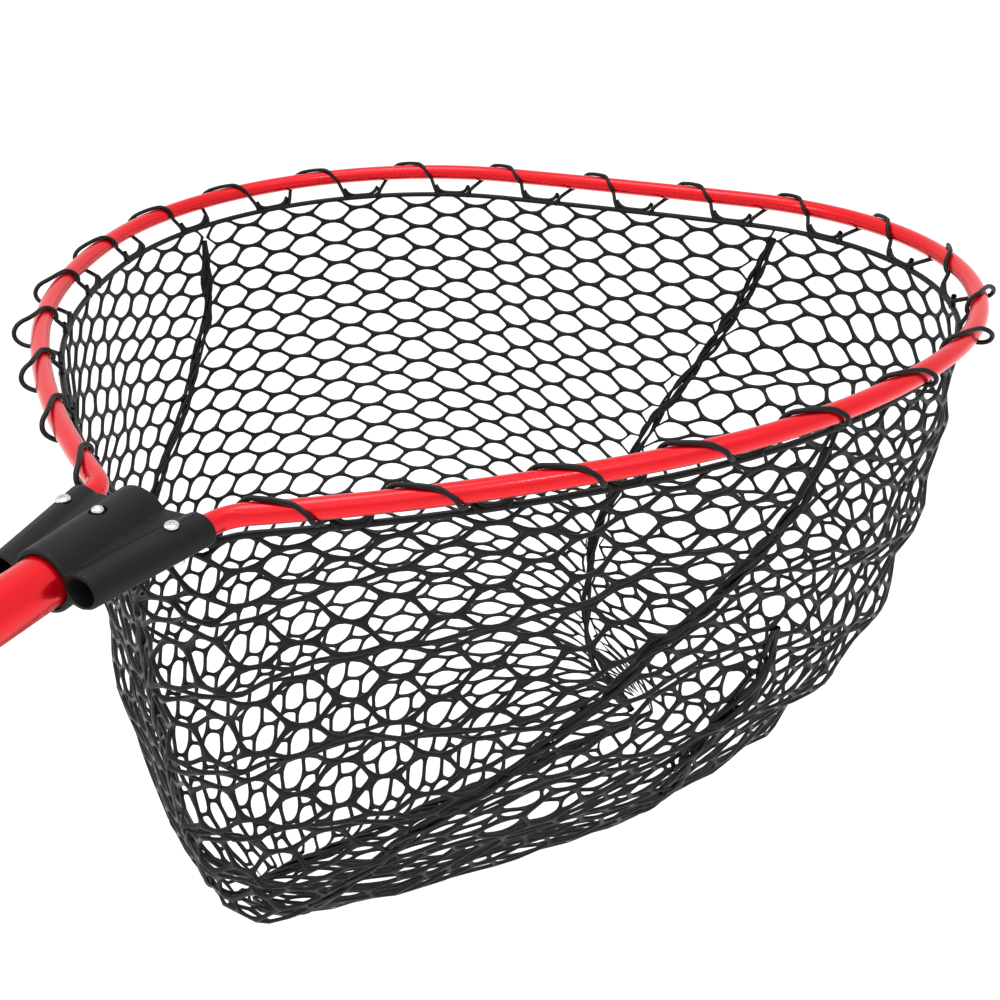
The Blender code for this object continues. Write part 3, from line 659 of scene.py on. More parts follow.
@dataclass
class Netting:
    """One panel of netting: lens-shaped cells in staggered columns, cut off at its seams.

    In lattice units a column is 3 wide and a row 2 high.  A cell's six corners are at (2, 0),
    (1, 1), (-1, 1), (-2, 0), (-1, -1), (1, -1) from its middle, and neighbours share them.  Its
    strands are the band between that outline and a hole: the outline moved in by half a strand,
    each corner eased by a quadratic curve.
    """

    bag: Bag
    finish: bpy.types.Material
    name: str
    start: tuple                  # the seam it starts at, as (place, depth share) points
    end: tuple
    middle: float
    fold: Fold
    column: float = 27.4
    bar: float = 15.0
    row: float = 10.0
    strand: float = 3.1
    thickness: float = 2.8
    mouth_share: float = 1.0
    opening_depth: float = 130.0
    seam_gap: float = 2.0
    keel_gap: float = 3.0
    least_area: float = 75.0      # of a hung cell, in square millimetres
    widest: float = 2300.0        # more than any ring's length, to bound the lattice

    CORNERS = np.array([(2, 0), (1, 1), (-1, 1), (-2, 0), (-1, -1), (1, -1)])
    EASE_BACK = np.array([0.20, 0.44, 0.50, 0.20, 0.44, 0.50])
    EASE_AHEAD = np.array([0.20, 0.50, 0.44, 0.20, 0.50, 0.44])

    def flat(self, x: np.ndarray, y: np.ndarray) -> tuple[np.ndarray, np.ndarray]:
        """Lattice units to millimetres on the flat net, cells narrower near the mouth."""
        column = np.round(x / 3.0)
        rest = x - 3.0 * column
        u = column * self.column + rest * self.bar / 2
        v = y * self.row
        share = self.mouth_share + (1 - self.mouth_share) * smoothstep(v / self.opening_depth)
        return u * share, v

    def held(self, place: np.ndarray, v: np.ndarray, gap: float) -> np.ndarray:
        """Places kept between the two seams at depths v, a gap short of each."""
        share = v / self.bag.length(place)
        low, high = (seam_place(seam, share) for seam in (self.start, self.end))
        low, high = low + gap, high - gap
        return np.clip(place, np.minimum(low, (low + high) / 2), np.maximum(high, (low + high) / 2))

    def places_of(self, u: np.ndarray, v: np.ndarray) -> np.ndarray:
        """Places round the mouth at ring distances u from the middle line, at depths v."""
        bag = self.bag
        place = self.middle - 0.5 + np.arange(bag.places + 1) / bag.places
        found = np.empty_like(u)
        for level in np.unique(v):
            ring = bag.at(place, np.full(place.shape, level))
            run = np.r_[0.0, np.cumsum(np.linalg.norm(np.diff(ring, axis=0), axis=1))]
            run -= np.interp(self.middle, place, run)
            row = v == level
            found[row] = np.interp(u[row], run + 1e-6 * np.arange(len(run)), place)
        return found

    def hang(self, u: np.ndarray, v: np.ndarray) -> tuple[np.ndarray, np.ndarray]:
        """Points and normals of the hanging net at flat points u, v."""
        bag, fold = self.bag, self.fold
        place = self.held(self.places_of(u, v), v, self.seam_gap / MOUTH_RUN)
        reach = bag.length(place) - self.keel_gap
        share = v / bag.length(place)
        edge = MOUTH_RUN * np.minimum(place - seam_place(self.start, share),
                                      seam_place(self.end, share) - place)
        loose = smoothstep((edge - 2) / 70.0) * smoothstep(v / 90.0) * smoothstep((reach - v) / 60.0)
        phase = (v + fold.slant * u + 12.0 * ripple(u, v, fold.seed + 5, 5, 120.0, 400.0))
        wave = phase * 2 * math.pi / fold.pleat_pitch
        depth = v + loose * fold.bunch * np.sin(wave + 0.9)
        depth = np.minimum(depth + fold.jitter * ripple(u, v, fold.seed + 9, 9, 30.0, 90.0), reach)
        depth = np.where(v <= 0, 0.0, np.maximum(depth, 0.5))
        points, normals = bag.at(place, depth), bag.normal(place, np.minimum(depth, reach - 8.0))
        lift = loose * (fold.swell * ripple(u, v, fold.seed + 1, 7, 70.0, 260.0)
                       + fold.pleat * (np.sin(wave) - 0.35))
        lift = lift + fold.jitter * 0.6 * ripple(u, v, fold.seed + 2, 9, 28.0, 70.0) * (v > 0)
        return points + normals * lift[:, None], normals

    def cells(self) -> np.ndarray:
        """Lattice middles of the cells with three corners in the panel and some area when hung."""
        span = max(p for p, _ in self.end) - min(p for p, _ in self.start)
        width = int(span * self.widest / self.column) + 3
        height = int(self.bag.reach.max() / self.row) + 2
        x, y = np.meshgrid(np.arange(-width, width + 1), np.arange(0, height))
        keep = (x + y) % 2 == 0
        cells = np.column_stack([3 * x[keep], y[keep]])
        tests = cells[:, None] + self.CORNERS[None]
        u, v = self.flat(tests[..., 0].astype(float).ravel(), tests[..., 1].astype(float).ravel())
        v = np.maximum(v, 0.0)
        place = self.places_of(u, v)
        inside = (abs(self.held(place, v, 0.0) - place) < 1e-7) & (v < self.bag.length(place) - 8.0)
        cells = cells[inside.reshape(len(cells), 6).sum(1) >= 3]
        corners = cells[:, None] + self.CORNERS[None]
        u, v = self.flat(corners[..., 0].astype(float).ravel(), corners[..., 1].astype(float).ravel())
        hung = self.hang(u, np.maximum(v, 0.0))[0].reshape(len(cells), 6, 3)
        area = np.linalg.norm(np.cross(hung, np.roll(hung, -1, 1)).sum(1), axis=1) / 2
        return cells[area > self.least_area]

    def build(self) -> bpy.types.Object:
        """Make the panel's mesh."""
        centres = self.cells()
        corners = centres[:, None] + self.CORNERS[None]
        corners[..., 1] = np.maximum(corners[..., 1], 0)
        ahead = np.roll(corners, -1, 1)
        third = np.stack([3 * corners, 2 * corners + ahead, corners + 2 * ahead], 2)
        keys = third.reshape(-1, 2)
        unique, index = np.unique(keys, axis=0, return_inverse=True)
        index = index.reshape(len(centres), 18)
        ends, corner_of = np.unique(corners.reshape(-1, 2), axis=0, return_inverse=True)
        u, v = self.flat(ends[:, 0].astype(float), ends[:, 1].astype(float))
        knots, knot_normals = self.hang(u, v)
        outline = knots[corner_of].reshape(len(centres), 6, 3)
        normals = knot_normals[corner_of].reshape(len(centres), 6, 3)
        middle = outline.mean(1, keepdims=True)
        facing = unit(normals.mean(1, keepdims=True))
        following = np.roll(outline, -1, 1)
        inward = unit(np.cross(facing, following - outline))
        sides = np.linalg.norm(following - outline, axis=2)
        clear = np.where(sides < 1.0, 1e3, ((middle - outline) * inward).sum(2)).min(1)
        half = np.clip(0.82 * clear, 0.6, self.strand / 2)[:, None, None]
        before = np.roll(inward, 1, 1)
        cosine = (before * inward).sum(2, keepdims=True)
        hole = outline + half * (before + inward) / np.maximum(1 + cosine, 0.45)
        towards = (middle - outline)
        room = np.linalg.norm(towards, axis=2, keepdims=True)
        moved = hole - outline
        size = np.linalg.norm(moved, axis=2, keepdims=True)
        hole = outline + moved * np.minimum(1.0, 0.85 * room / np.maximum(size, 1e-6))
        back = hole + self.EASE_BACK[:, None] * (np.roll(hole, 1, 1) - hole)
        front = hole + self.EASE_AHEAD[:, None] * (np.roll(hole, -1, 1) - hole)
        edge = np.stack([self.ease(back, hole, front, t) for t in (0.5, 0.86)]
                        + [np.roll(self.ease(back, hole, front, 0.14), -1, 1)], 2)
        edge = edge.reshape(len(centres), 18, 3)
        rim = np.stack([outline, (2 * outline + following) / 3, (outline + 2 * following) / 3], 2)
        rim = rim.reshape(len(centres), 18, 3)
        lift = np.stack([normals, 2 * normals + np.roll(normals, -1, 1),
                         normals + 2 * np.roll(normals, -1, 1)], 2).reshape(len(centres), 18, 3)
        return self.skin(index, len(unique), rim, unit(lift), edge)

    @staticmethod
    def ease(back: np.ndarray, corner: np.ndarray, front: np.ndarray, t: float) -> np.ndarray:
        """A point of the quadratic curve that eases a corner."""
        return back * (1 - t) ** 2 + corner * 2 * t * (1 - t) + front * t ** 2

    def skin(self, index: np.ndarray, count: int, rim: np.ndarray, lift: np.ndarray,
             edge: np.ndarray) -> bpy.types.Object:
        """Join the cells' bands into one closed skin.

        Args:
            index: The shared number of each rim point, [cell][18].
            count: How many shared rim points there are.
            rim: The cells' outlines at mid thickness, [cell][18].
            lift: The net's normals there.
            edge: The holes' edges, [cell][18].

        Returns:
            The panel's object.
        """
        thick = self.thickness / 2
        shared, normal = np.empty((count, 3)), np.empty((count, 3))
        shared[index.ravel()] = rim.reshape(-1, 3)
        normal[index.ravel()] = lift.reshape(-1, 3)
        towards = shared[index] - edge
        span = np.linalg.norm(towards, axis=2, keepdims=True)
        shoulder = edge + towards * np.minimum(0.42 / np.maximum(span, 1e-6), 0.3)
        up = lift * thick * 0.72
        own = len(index) * 18
        points = np.vstack([shared + normal * thick, shared - normal * thick,
                            (shoulder + up).reshape(-1, 3), edge.reshape(-1, 3),
                            (shoulder - up).reshape(-1, 3)])
        base = 2 * count + np.arange(own).reshape(-1, 18)
        ahead, rolled = np.roll(index, -1, 1), np.roll(base, -1, 1)
        quads = [
            (index, ahead, rolled, base),
            (base, rolled, rolled + own, base + own),
            (base + own, rolled + own, rolled + 2 * own, base + 2 * own),
            (base + 2 * own, rolled + 2 * own, ahead + count, index + count)]
        faces = [np.stack(quad, -1).reshape(-1, 4) for quad in quads]
        one, two = index.ravel(), ahead.ravel()
        forward, backward = one * count + two, two * count + one
        open_edge = ~np.isin(forward, backward)
        p, q = one[open_edge], two[open_edge]
        faces.append(np.stack([q, p, p + count, q + count], -1))
        return mesh_piece(self.name, points, np.vstack(faces), self.finish, Body.HEAD,
                          ("net_panel_" + self.name.split("_")[-1],))


@dataclass
class Lacing:
    """The strands that carry the bag, and the knots they make on the selvedge.

    A loop leaves its first knot, climbs inside the hoop, goes over the tube while leaning along
    it, and comes back under it to its second knot.  Knots of neighbouring loops stand in pairs,
    joined by a web that hangs like the letter U.
    """

    outline: HoopOutline
    bag: Bag
    finish: bpy.types.Material
    count: int = 24
    radius: float = 1.6
    ends: tuple[float, float] = (50.0, 1997.0)   # running lengths of the first and last loop
    shift: tuple[float, float] = (-22.0, 12.6)   # the loops stand wider round the front
    foot_ahead: float = 13.0
    foot_behind: float = 45.0
    clearance: float = 0.12
    sides: int = 12
    line: np.ndarray = field(init=False)
    run: np.ndarray = field(init=False)

    def __post_init__(self) -> None:
        """Take the hoop's line and its headings."""
        self.line, self.run = self.outline.outside()
        self.heading = unit(np.gradient(self.line, axis=0))

    def frame_at(self, at: float) -> tuple[np.ndarray, np.ndarray, np.ndarray]:
        """The tube's centre, heading and inward direction at a running length."""
        at = min(max(at, 0.0), self.run[-1])
        centre = np.array([np.interp(at, self.run, self.line[:, k]) for k in range(3)])
        ahead = np.array([np.interp(at, self.run, self.heading[:, k]) for k in range(3)])
        return centre, ahead, np.array([ahead[1], -ahead[0], 0.0])

    def crossings(self) -> np.ndarray:
        """Where the loops cross the tube: even steps plus a sin(2 pi t) + b sin(pi t)."""
        t = np.linspace(0, 1, self.count)
        a, b = self.shift
        return (self.ends[0] + (self.ends[1] - self.ends[0]) * t + a * np.sin(2 * math.pi * t)
                + b * np.sin(math.pi * t))

    def knots(self) -> tuple[np.ndarray, np.ndarray]:
        """Running lengths of every loop's first and last knot."""
        cross = self.crossings()
        return cross + self.foot_ahead, cross - self.foot_behind

    def foot(self, at: float, lift: float = 0.0) -> np.ndarray:
        """A point on the selvedge's line, lifted by some millimetres."""
        centre, _, inward = self.frame_at(at)
        return centre + self.bag.inset * inward + UP * (self.bag.mouth_z + lift)

    def loop(self, number: int) -> bpy.types.Object:
        """One loop: an arc round the tube that stands off it on the outside."""
        draw = np.random.default_rng(40 + number)
        cross = self.crossings()[number]
        first, last = (ends[number] for ends in self.knots())
        slack = 0.8 + draw.uniform(0.0, 1.5) + 8.0 * math.exp(-((number - 3.2) / 1.4) ** 2)
        slack += 3.5 * math.exp(-((number - 17.0) / 1.2) ** 2)
        around = self.outline.radius + self.radius + self.clearance
        angle = np.linspace(-32, 262, 24)
        share = (angle - angle[0]) / (angle[-1] - angle[0])
        lean = np.interp(angle, [-32, 40, 80, 130, 175, 262], [-8.0, -2.0, 3.0, 22.0, 30.0, 37.0])
        lean = lean + draw.uniform(-3.0, 3.0) * np.sin(share * math.pi)
        stand = around + slack * np.exp(-((angle - 178) / 42.0) ** 2)
        path = [self.foot(first + 3.0, -0.5), self.foot(first + 0.5, 2.5), self.foot(first - 1.6, 6.5)]
        for turn, ahead, reach in zip(angle * DEG, lean, stand):
            centre, _, inward = self.frame_at(cross - ahead)
            path.append(centre + reach * (inward * math.cos(turn) + UP * math.sin(turn)))
        path += [self.foot(last + 2.6, 5.5), self.foot(last + 0.6, 2.0), self.foot(last - 2.5, -0.5)]
        path = smooth_path(np.array(path), 110)
        run = np.linspace(0, 1, len(path))
        length = np.linalg.norm(np.diff(path, axis=0), axis=1).sum()
        end = np.minimum(run, 1 - run) * length
        radius = self.radius + 1.0 * np.exp(-(end / 5.0) ** 2)
        points, faces = capped(carried_tube(path, radius, self.sides), len(path), self.sides)
        faces = oriented(points, faces)
        return mesh_piece("lacing_%02d" % (number + 1), points, faces, self.finish, Body.HEAD,
                          ("lacing_loop_%02d" % (number + 1),))

    def web(self, low: float, high: float) -> tuple[np.ndarray, np.ndarray]:
        """The U-shaped web between two knots: its height above the selvedge is h t ** 4."""
        t = np.linspace(-1, 1, 25)
        at = (low + high) / 2 + t * ((high - low) / 2 - 0.5)
        path = np.array([self.foot(a, 2.1 + 6.5 * abs(s) ** 4.2) for a, s in zip(at, t)])
        points, faces = capped(carried_tube(path, 1.45 + 0.55 * t ** 4, 8), len(path), 8)
        return points, oriented(points, faces)

    def selvedge(self) -> bpy.types.Object:
        """The selvedge cord, thicker between the knots of a pair, with its webs and knots."""
        first, last = self.knots()
        ring = resample(self.bag.mouth(), 900, closed=True)
        centre = resample(self.line + self.bag.inset * np.column_stack(
            [self.heading[:, 1], -self.heading[:, 0], np.zeros(len(self.line))]), 1500)
        reach = np.linspace(0, self.run[-1], 1500)
        nearest = np.argmin(((ring[:, None, :2] - centre[None, :, :2]) ** 2).sum(2), axis=1)
        at = reach[nearest]
        pairs = [(last[i], first[i - 1]) for i in range(1, self.count)]
        swell = np.zeros(len(ring))
        for low, high in pairs:
            inside = np.clip(np.minimum(at - low, high - at) / 5.0 + 1.0, 0.0, 1.0)
            swell = np.maximum(swell, smoothstep(inside))
        radius = 2.15 + 0.75 * swell
        closed = np.vstack([ring, ring[:1]])
        path = closed + UP * (0.5 * np.r_[swell, swell[:1]])[:, None]
        tube = tube_points(path, np.r_[radius, radius[:1]], 12)
        points, faces = capped(tube, len(path), 12)
        parts = [(points, oriented(points, faces))]
        parts += [self.web(low, high) for low, high in pairs]
        points, faces = merge(parts)
        return mesh_piece("selvedge", points, faces, self.finish, Body.HEAD, ("net_selvedge",))


@dataclass
class Gather:
    """A seam: the netting's edge drawn together into a rope of overlapping strands."""

    bag: Bag
    finish: bpy.types.Material
    name: str
    route: tuple                  # (place, depth share) points down the wall
    strands: int = 6
    spread: float = 3.6
    lift: float = 0.0
    radius: float = 1.5
    twist: float = 95.0
    seed: int = 3
    nodes: tuple = ()
    keel: bool = False            # along the keel line instead of the route

    def middle(self, count: int) -> tuple[np.ndarray, np.ndarray]:
        """The rope's middle line and the bag's normals along it."""
        t = np.linspace(0, 1, count)[:, None]
        if self.keel:
            rear, front = np.array(self.bag.keel_rear), np.array(self.bag.keel_front)
            return rear + (front - rear) * t, np.tile(-UP, (count, 1))
        route = np.array(self.route, float)
        fine = resample(np.column_stack([route[:, 0] * MOUTH_RUN, route[:, 1] * ROUTE_DEPTH]), count)
        place, share = fine[:, 0] / MOUTH_RUN, fine[:, 1] / ROUTE_DEPTH
        depth = share * (self.bag.length(place) - 3.0)
        line = self.bag.at(place, depth)
        for _ in range(6):
            line[1:-1] = (line[:-2] + 2 * line[1:-1] + line[2:]) / 4
        return line, self.bag.normal(place, depth)

    def build(self) -> bpy.types.Object:
        """Strands wander about the route: across by a sin(phase), along the normal by b cos(phase)."""
        line, normal = self.middle(140)
        line = line + normal * self.lift
        ahead = unit(np.gradient(line, axis=0))
        across = unit(np.cross(ahead, normal))
        run = np.r_[0.0, np.cumsum(np.linalg.norm(np.diff(line, axis=0), axis=1))]
        draw = np.random.default_rng(self.seed)
        parts = []
        close = 0.35 + 0.65 * smoothstep(np.minimum(run, run[-1] - run) / 30.0)
        for k in range(self.strands):
            phase = 2 * math.pi * (run / self.twist / draw.uniform(0.8, 1.3) + draw.random())
            wave = np.sin(2 * math.pi * (run / draw.uniform(28, 60) + draw.random()))
            side = close * self.spread * (np.sin(phase) + 0.28 * wave)
            out = close * self.spread * 0.45 * (np.cos(phase) + 0.3 * np.roll(wave, 9))
            path = line + across * side[:, None] + normal * out[:, None]
            radius = self.radius * (1.0 + 0.22 * np.sin(2 * math.pi * (run / 37.0 + draw.random())))
            points, faces = capped(carried_tube(path, radius, 8), len(path), 8)
            parts.append((points, oriented(points, faces)))
        points, faces = merge(parts)
        return mesh_piece(self.name, points, faces, self.finish, Body.HEAD, self.nodes)


# ---- yoke ---------------------------------------------------------------------------------------
@dataclass
class Yoke:
    """The moulded yoke: three sleeves whose skin is a fifth-power mean of tops and webs."""

    outline: HoopOutline
    plastic: bpy.types.Material
    steel: bpy.types.Material
    rear: float = 516.0
    front: float = 590.0
    handle_radius: float = 14.1
    wall: float = 3.0
    web: float = 7.0
    pocket: tuple[float, float] = (11.0, 7.9)   # depth and radius of the sleeves' rear mouths
    gap: float = 0.3
    edge: float = 1.6
    screw_x: float = 572.0
    button_x: float = 560.0

    def sleeve(self, x: np.ndarray | float) -> np.ndarray | float:
        """Distance of a side sleeve's middle from the axis."""
        leg_x, leg_y = self.outline.leg
        return leg_y - (leg_x - x) * math.tan(self.outline.flare * DEG)

    def skin(self) -> tuple[np.ndarray, np.ndarray]:
        """The outer skin, open at both ends, where it draws in along a quarter circle."""
        turn = np.linspace(0, math.pi / 2, 6)
        ends, drawn = self.edge * (1 - np.cos(turn)), self.edge * (1 - np.sin(turn))
        x = np.r_[self.rear + ends, np.linspace(self.rear + 4, self.front - 4, 40),
                  (self.front - ends)[::-1]]
        inset = np.r_[drawn, np.zeros(40), drawn[::-1]]
        main = self.handle_radius + self.gap + self.wall
        side = self.outline.radius + self.gap + self.wall
        count = 120
        turn = np.linspace(-math.pi / 2, math.pi / 2, count)
        centre = self.sleeve(x)[:, None]
        y = (centre + side) * np.sin(turn)
        tops = [np.sqrt(np.clip(main ** 2 - y ** 2, 0, None)),
                np.sqrt(np.clip(side ** 2 - (abs(y) - centre) ** 2, 0, None)),
                np.where(abs(y) < centre, self.web, 0.0)]
        height = sum(t ** 5 for t in tops) ** 0.2
        height[:, [0, -1]] = 0.0
        y = y * (1 - inset[:, None] / (centre + side))
        height = height * (1 - inset[:, None] / main)
        upper = np.stack([np.broadcast_to(x[:, None], y.shape), y, height], -1)
        lower = upper[:, -2:0:-1] * [1, 1, -1]
        rings = np.concatenate([upper, lower], 1)
        return rings.reshape(-1, 3), grid_faces(len(x), rings.shape[1])

    def rod(self, start: tuple, end: tuple, radius: float, sides: int = 64) -> bpy.types.Object:
        """A plain cutter."""
        path = np.linspace(start, end, 2)
        guide = np.array([0.12, 0.9, 0.1]) if abs(path[1, 2] - path[0, 2]) > 1 else UP
        points, faces = capped(tube_points(path, radius, sides, guide), 2, sides)
        mesh = bpy.data.meshes.new("cutter")
        faces = oriented(points, faces)
        mesh.from_pydata((points * MM).tolist(), [], [list(dict.fromkeys(f)) for f in faces.tolist()])
        made = bpy.data.objects.new("cutter", mesh)
        bpy.context.scene.collection.objects.link(made)
        return made

    def body(self) -> bpy.types.Object:
        """The yoke, bored for the handle, the hoop's legs, the screws and the button."""
        points, faces = self.skin()
        around = int(faces[0, 3])
        ends = [list(range(around))[::-1], list(range(len(points) - around, len(points)))]
        mesh = bpy.data.meshes.new("yoke")
        mesh.from_pydata((points * MM).tolist(), [],
                         faces[:, ::-1].tolist() + [end[::-1] for end in ends])
        made = bpy.data.objects.new("yoke", mesh)
        bpy.context.scene.collection.objects.link(made)
        bore, leg = self.handle_radius + self.gap, self.outline.radius + self.gap
        cutters = [self.rod((self.rear - 6, 0, 0), (self.rear + 1.4, 0, 0), bore + 1.0),
                   self.rod((self.rear - 9, 0, 0), (self.front + 9, 0, 0), bore),
                   self.rod((self.button_x, 0, 8), (self.button_x, 0, 30), 4.8, 48)]
        for sign in (1, -1):
            ends = [(x, sign * self.sleeve(x), 0) for x in (self.rear - 12, self.front + 12)]
            cutters.append(self.rod(ends[0], ends[1], leg))
            floor = self.rear + self.pocket[0]
            cutters.append(self.rod(ends[0], (floor, sign * self.sleeve(floor), 0), self.pocket[1]))
            y = sign * self.sleeve(self.screw_x)
            cutters.append(self.rod((self.screw_x, y, 9.0), (self.screw_x, y, 20), 4.6, 48))
            cutters.append(self.rod((self.screw_x, y, -7.6), (self.screw_x, y, -20), 4.7, 6))
        for cutter in cutters:
            step = made.modifiers.new("cut", "BOOLEAN")
            step.operation, step.solver, step.object = "DIFFERENCE", "EXACT", cutter
            bpy.context.view_layer.update()
            graph = bpy.context.evaluated_depsgraph_get()
            made.data = bpy.data.meshes.new_from_object(made.evaluated_get(graph))
            made.modifiers.clear()
            bpy.data.objects.remove(cutter, do_unlink=True)
        made.data.shade_smooth()
        made.data.set_sharp_from_angle(angle=38.0 * DEG)
        made.data.materials.clear()
        made.data.materials.append(self.plastic)
        made.name = "yoke"
        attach(made, Body.HEAD.value)
        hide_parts("yoke_body")
        log.info("yoke: %d faces on %s", len(made.data.polygons), Body.HEAD.value)
        return made

    def lathe(self, name: str, x: float, y: float, profile: np.ndarray, body: Body, node: str,
              recess: float = 0.0) -> bpy.types.Object:
        """A piece turned round an upright axis from (z, r) points.

        With a recess its top is sunk along a cross: by recess times the larger of two bars'
        profiles, each a smooth step of the distance from the bar's middle line.
        """
        sides, steps = 72, 30
        crown = np.column_stack([np.full(steps, profile[-1, 0]),
                                 profile[-1, 1] * np.linspace(1, 0, steps + 1)[1:]])
        crown[-1, 1] = 0.01
        z0, r0 = profile[-1]
        crown[:, 0] = z0 + 0.32 * (1 - (crown[:, 1] / r0) ** 2)
        whole = np.vstack([profile, crown])
        angle = np.arange(sides) * 2 * math.pi / sides
        px, py = whole[:, 1:] * np.cos(angle), whole[:, 1:] * np.sin(angle)
        z = np.broadcast_to(whole[:, :1], px.shape).copy()
        if recess:
            turn = 0.5
            a = px * math.cos(turn) + py * math.sin(turn)
            b = -px * math.sin(turn) + py * math.cos(turn)
            bar = [smoothstep((0.62 - abs(p)) / 0.16) * smoothstep((2.1 - abs(q)) / 0.4)
                   for p, q in ((a, b), (b, a))]
            top = np.r_[np.zeros(len(profile)), np.ones(steps)][:, None]
            z -= recess * np.maximum(*bar) * top
        points = np.stack([x + px, y + py, z], -1).reshape(-1, 3)
        points, faces = capped(points, len(whole), sides)
        return mesh_piece(name, points, oriented(points, faces), self.steel, body, (node,),
                          sharp=50.0)

    def fasteners(self) -> None:
        """The two cross-recess pan-head screws and the domed snap button."""
        head = rounded([(-12.6, 0.01), (-12.6, 1.9), (9.3, 1.9), (9.3, 4.15), (10.7, 4.15),
                        (11.8, 3.0)], 0.8)
        for sign, label in ((1, "left"), (-1, "right")):
            self.lathe("screw_" + label, self.screw_x, sign * self.sleeve(self.screw_x), head,
                       Body.HEAD, "hoop_screw_" + label, recess=1.2)
        arc = np.linspace(0, 1.25, 14)
        dome = np.column_stack([17.1 + 2.6 * np.sin(arc), 3.3 * np.cos(arc) ** 0.9])
        profile = np.vstack([[(10.9, 0.01), (10.9, 4.6), (11.6, 4.6), (11.6, 3.3)], dome])
        self.lathe("button", self.button_x, 0.0, profile, Body.BUTTON, "snap_button")

    def spring(self) -> None:
        """The bent leaf under the button: two legs and a round heel."""
        x, floor, top, travel = self.button_x, -11.55, 10.55, 5.8
        turn = np.linspace(0.15, math.pi - 0.15, 24)
        heel = np.column_stack([x - 44 - 4 * np.sin(turn), 4 * np.cos(turn) - 1.0])
        line = np.vstack([[(x + 6, 10.2), (x - 6, 10.2)], heel, [(x - 6, -11.2), (x + 6, -11.2)]])
        ahead = unit(np.gradient(line, axis=0))
        out = 0.35 * np.column_stack([-ahead[:, 1], ahead[:, 0]])
        edges = ((line + out, -3.5), (line + out, 3.5), (line - out, 3.5), (line - out, -3.5))
        rings = np.stack([np.column_stack([p[:, 0], np.full(len(p), y), p[:, 1]]) for p, y in edges], 1)
        points, faces = capped(rings.reshape(-1, 3), len(line), 4)
        made = mesh_piece("button_leaf", points, oriented(points, faces), self.steel, Body.HEAD,
                          ("button_spring",), sharp=30.0)
        x * MM
        floor * MM
        (top - travel - floor) / (top - floor)
        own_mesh(made)


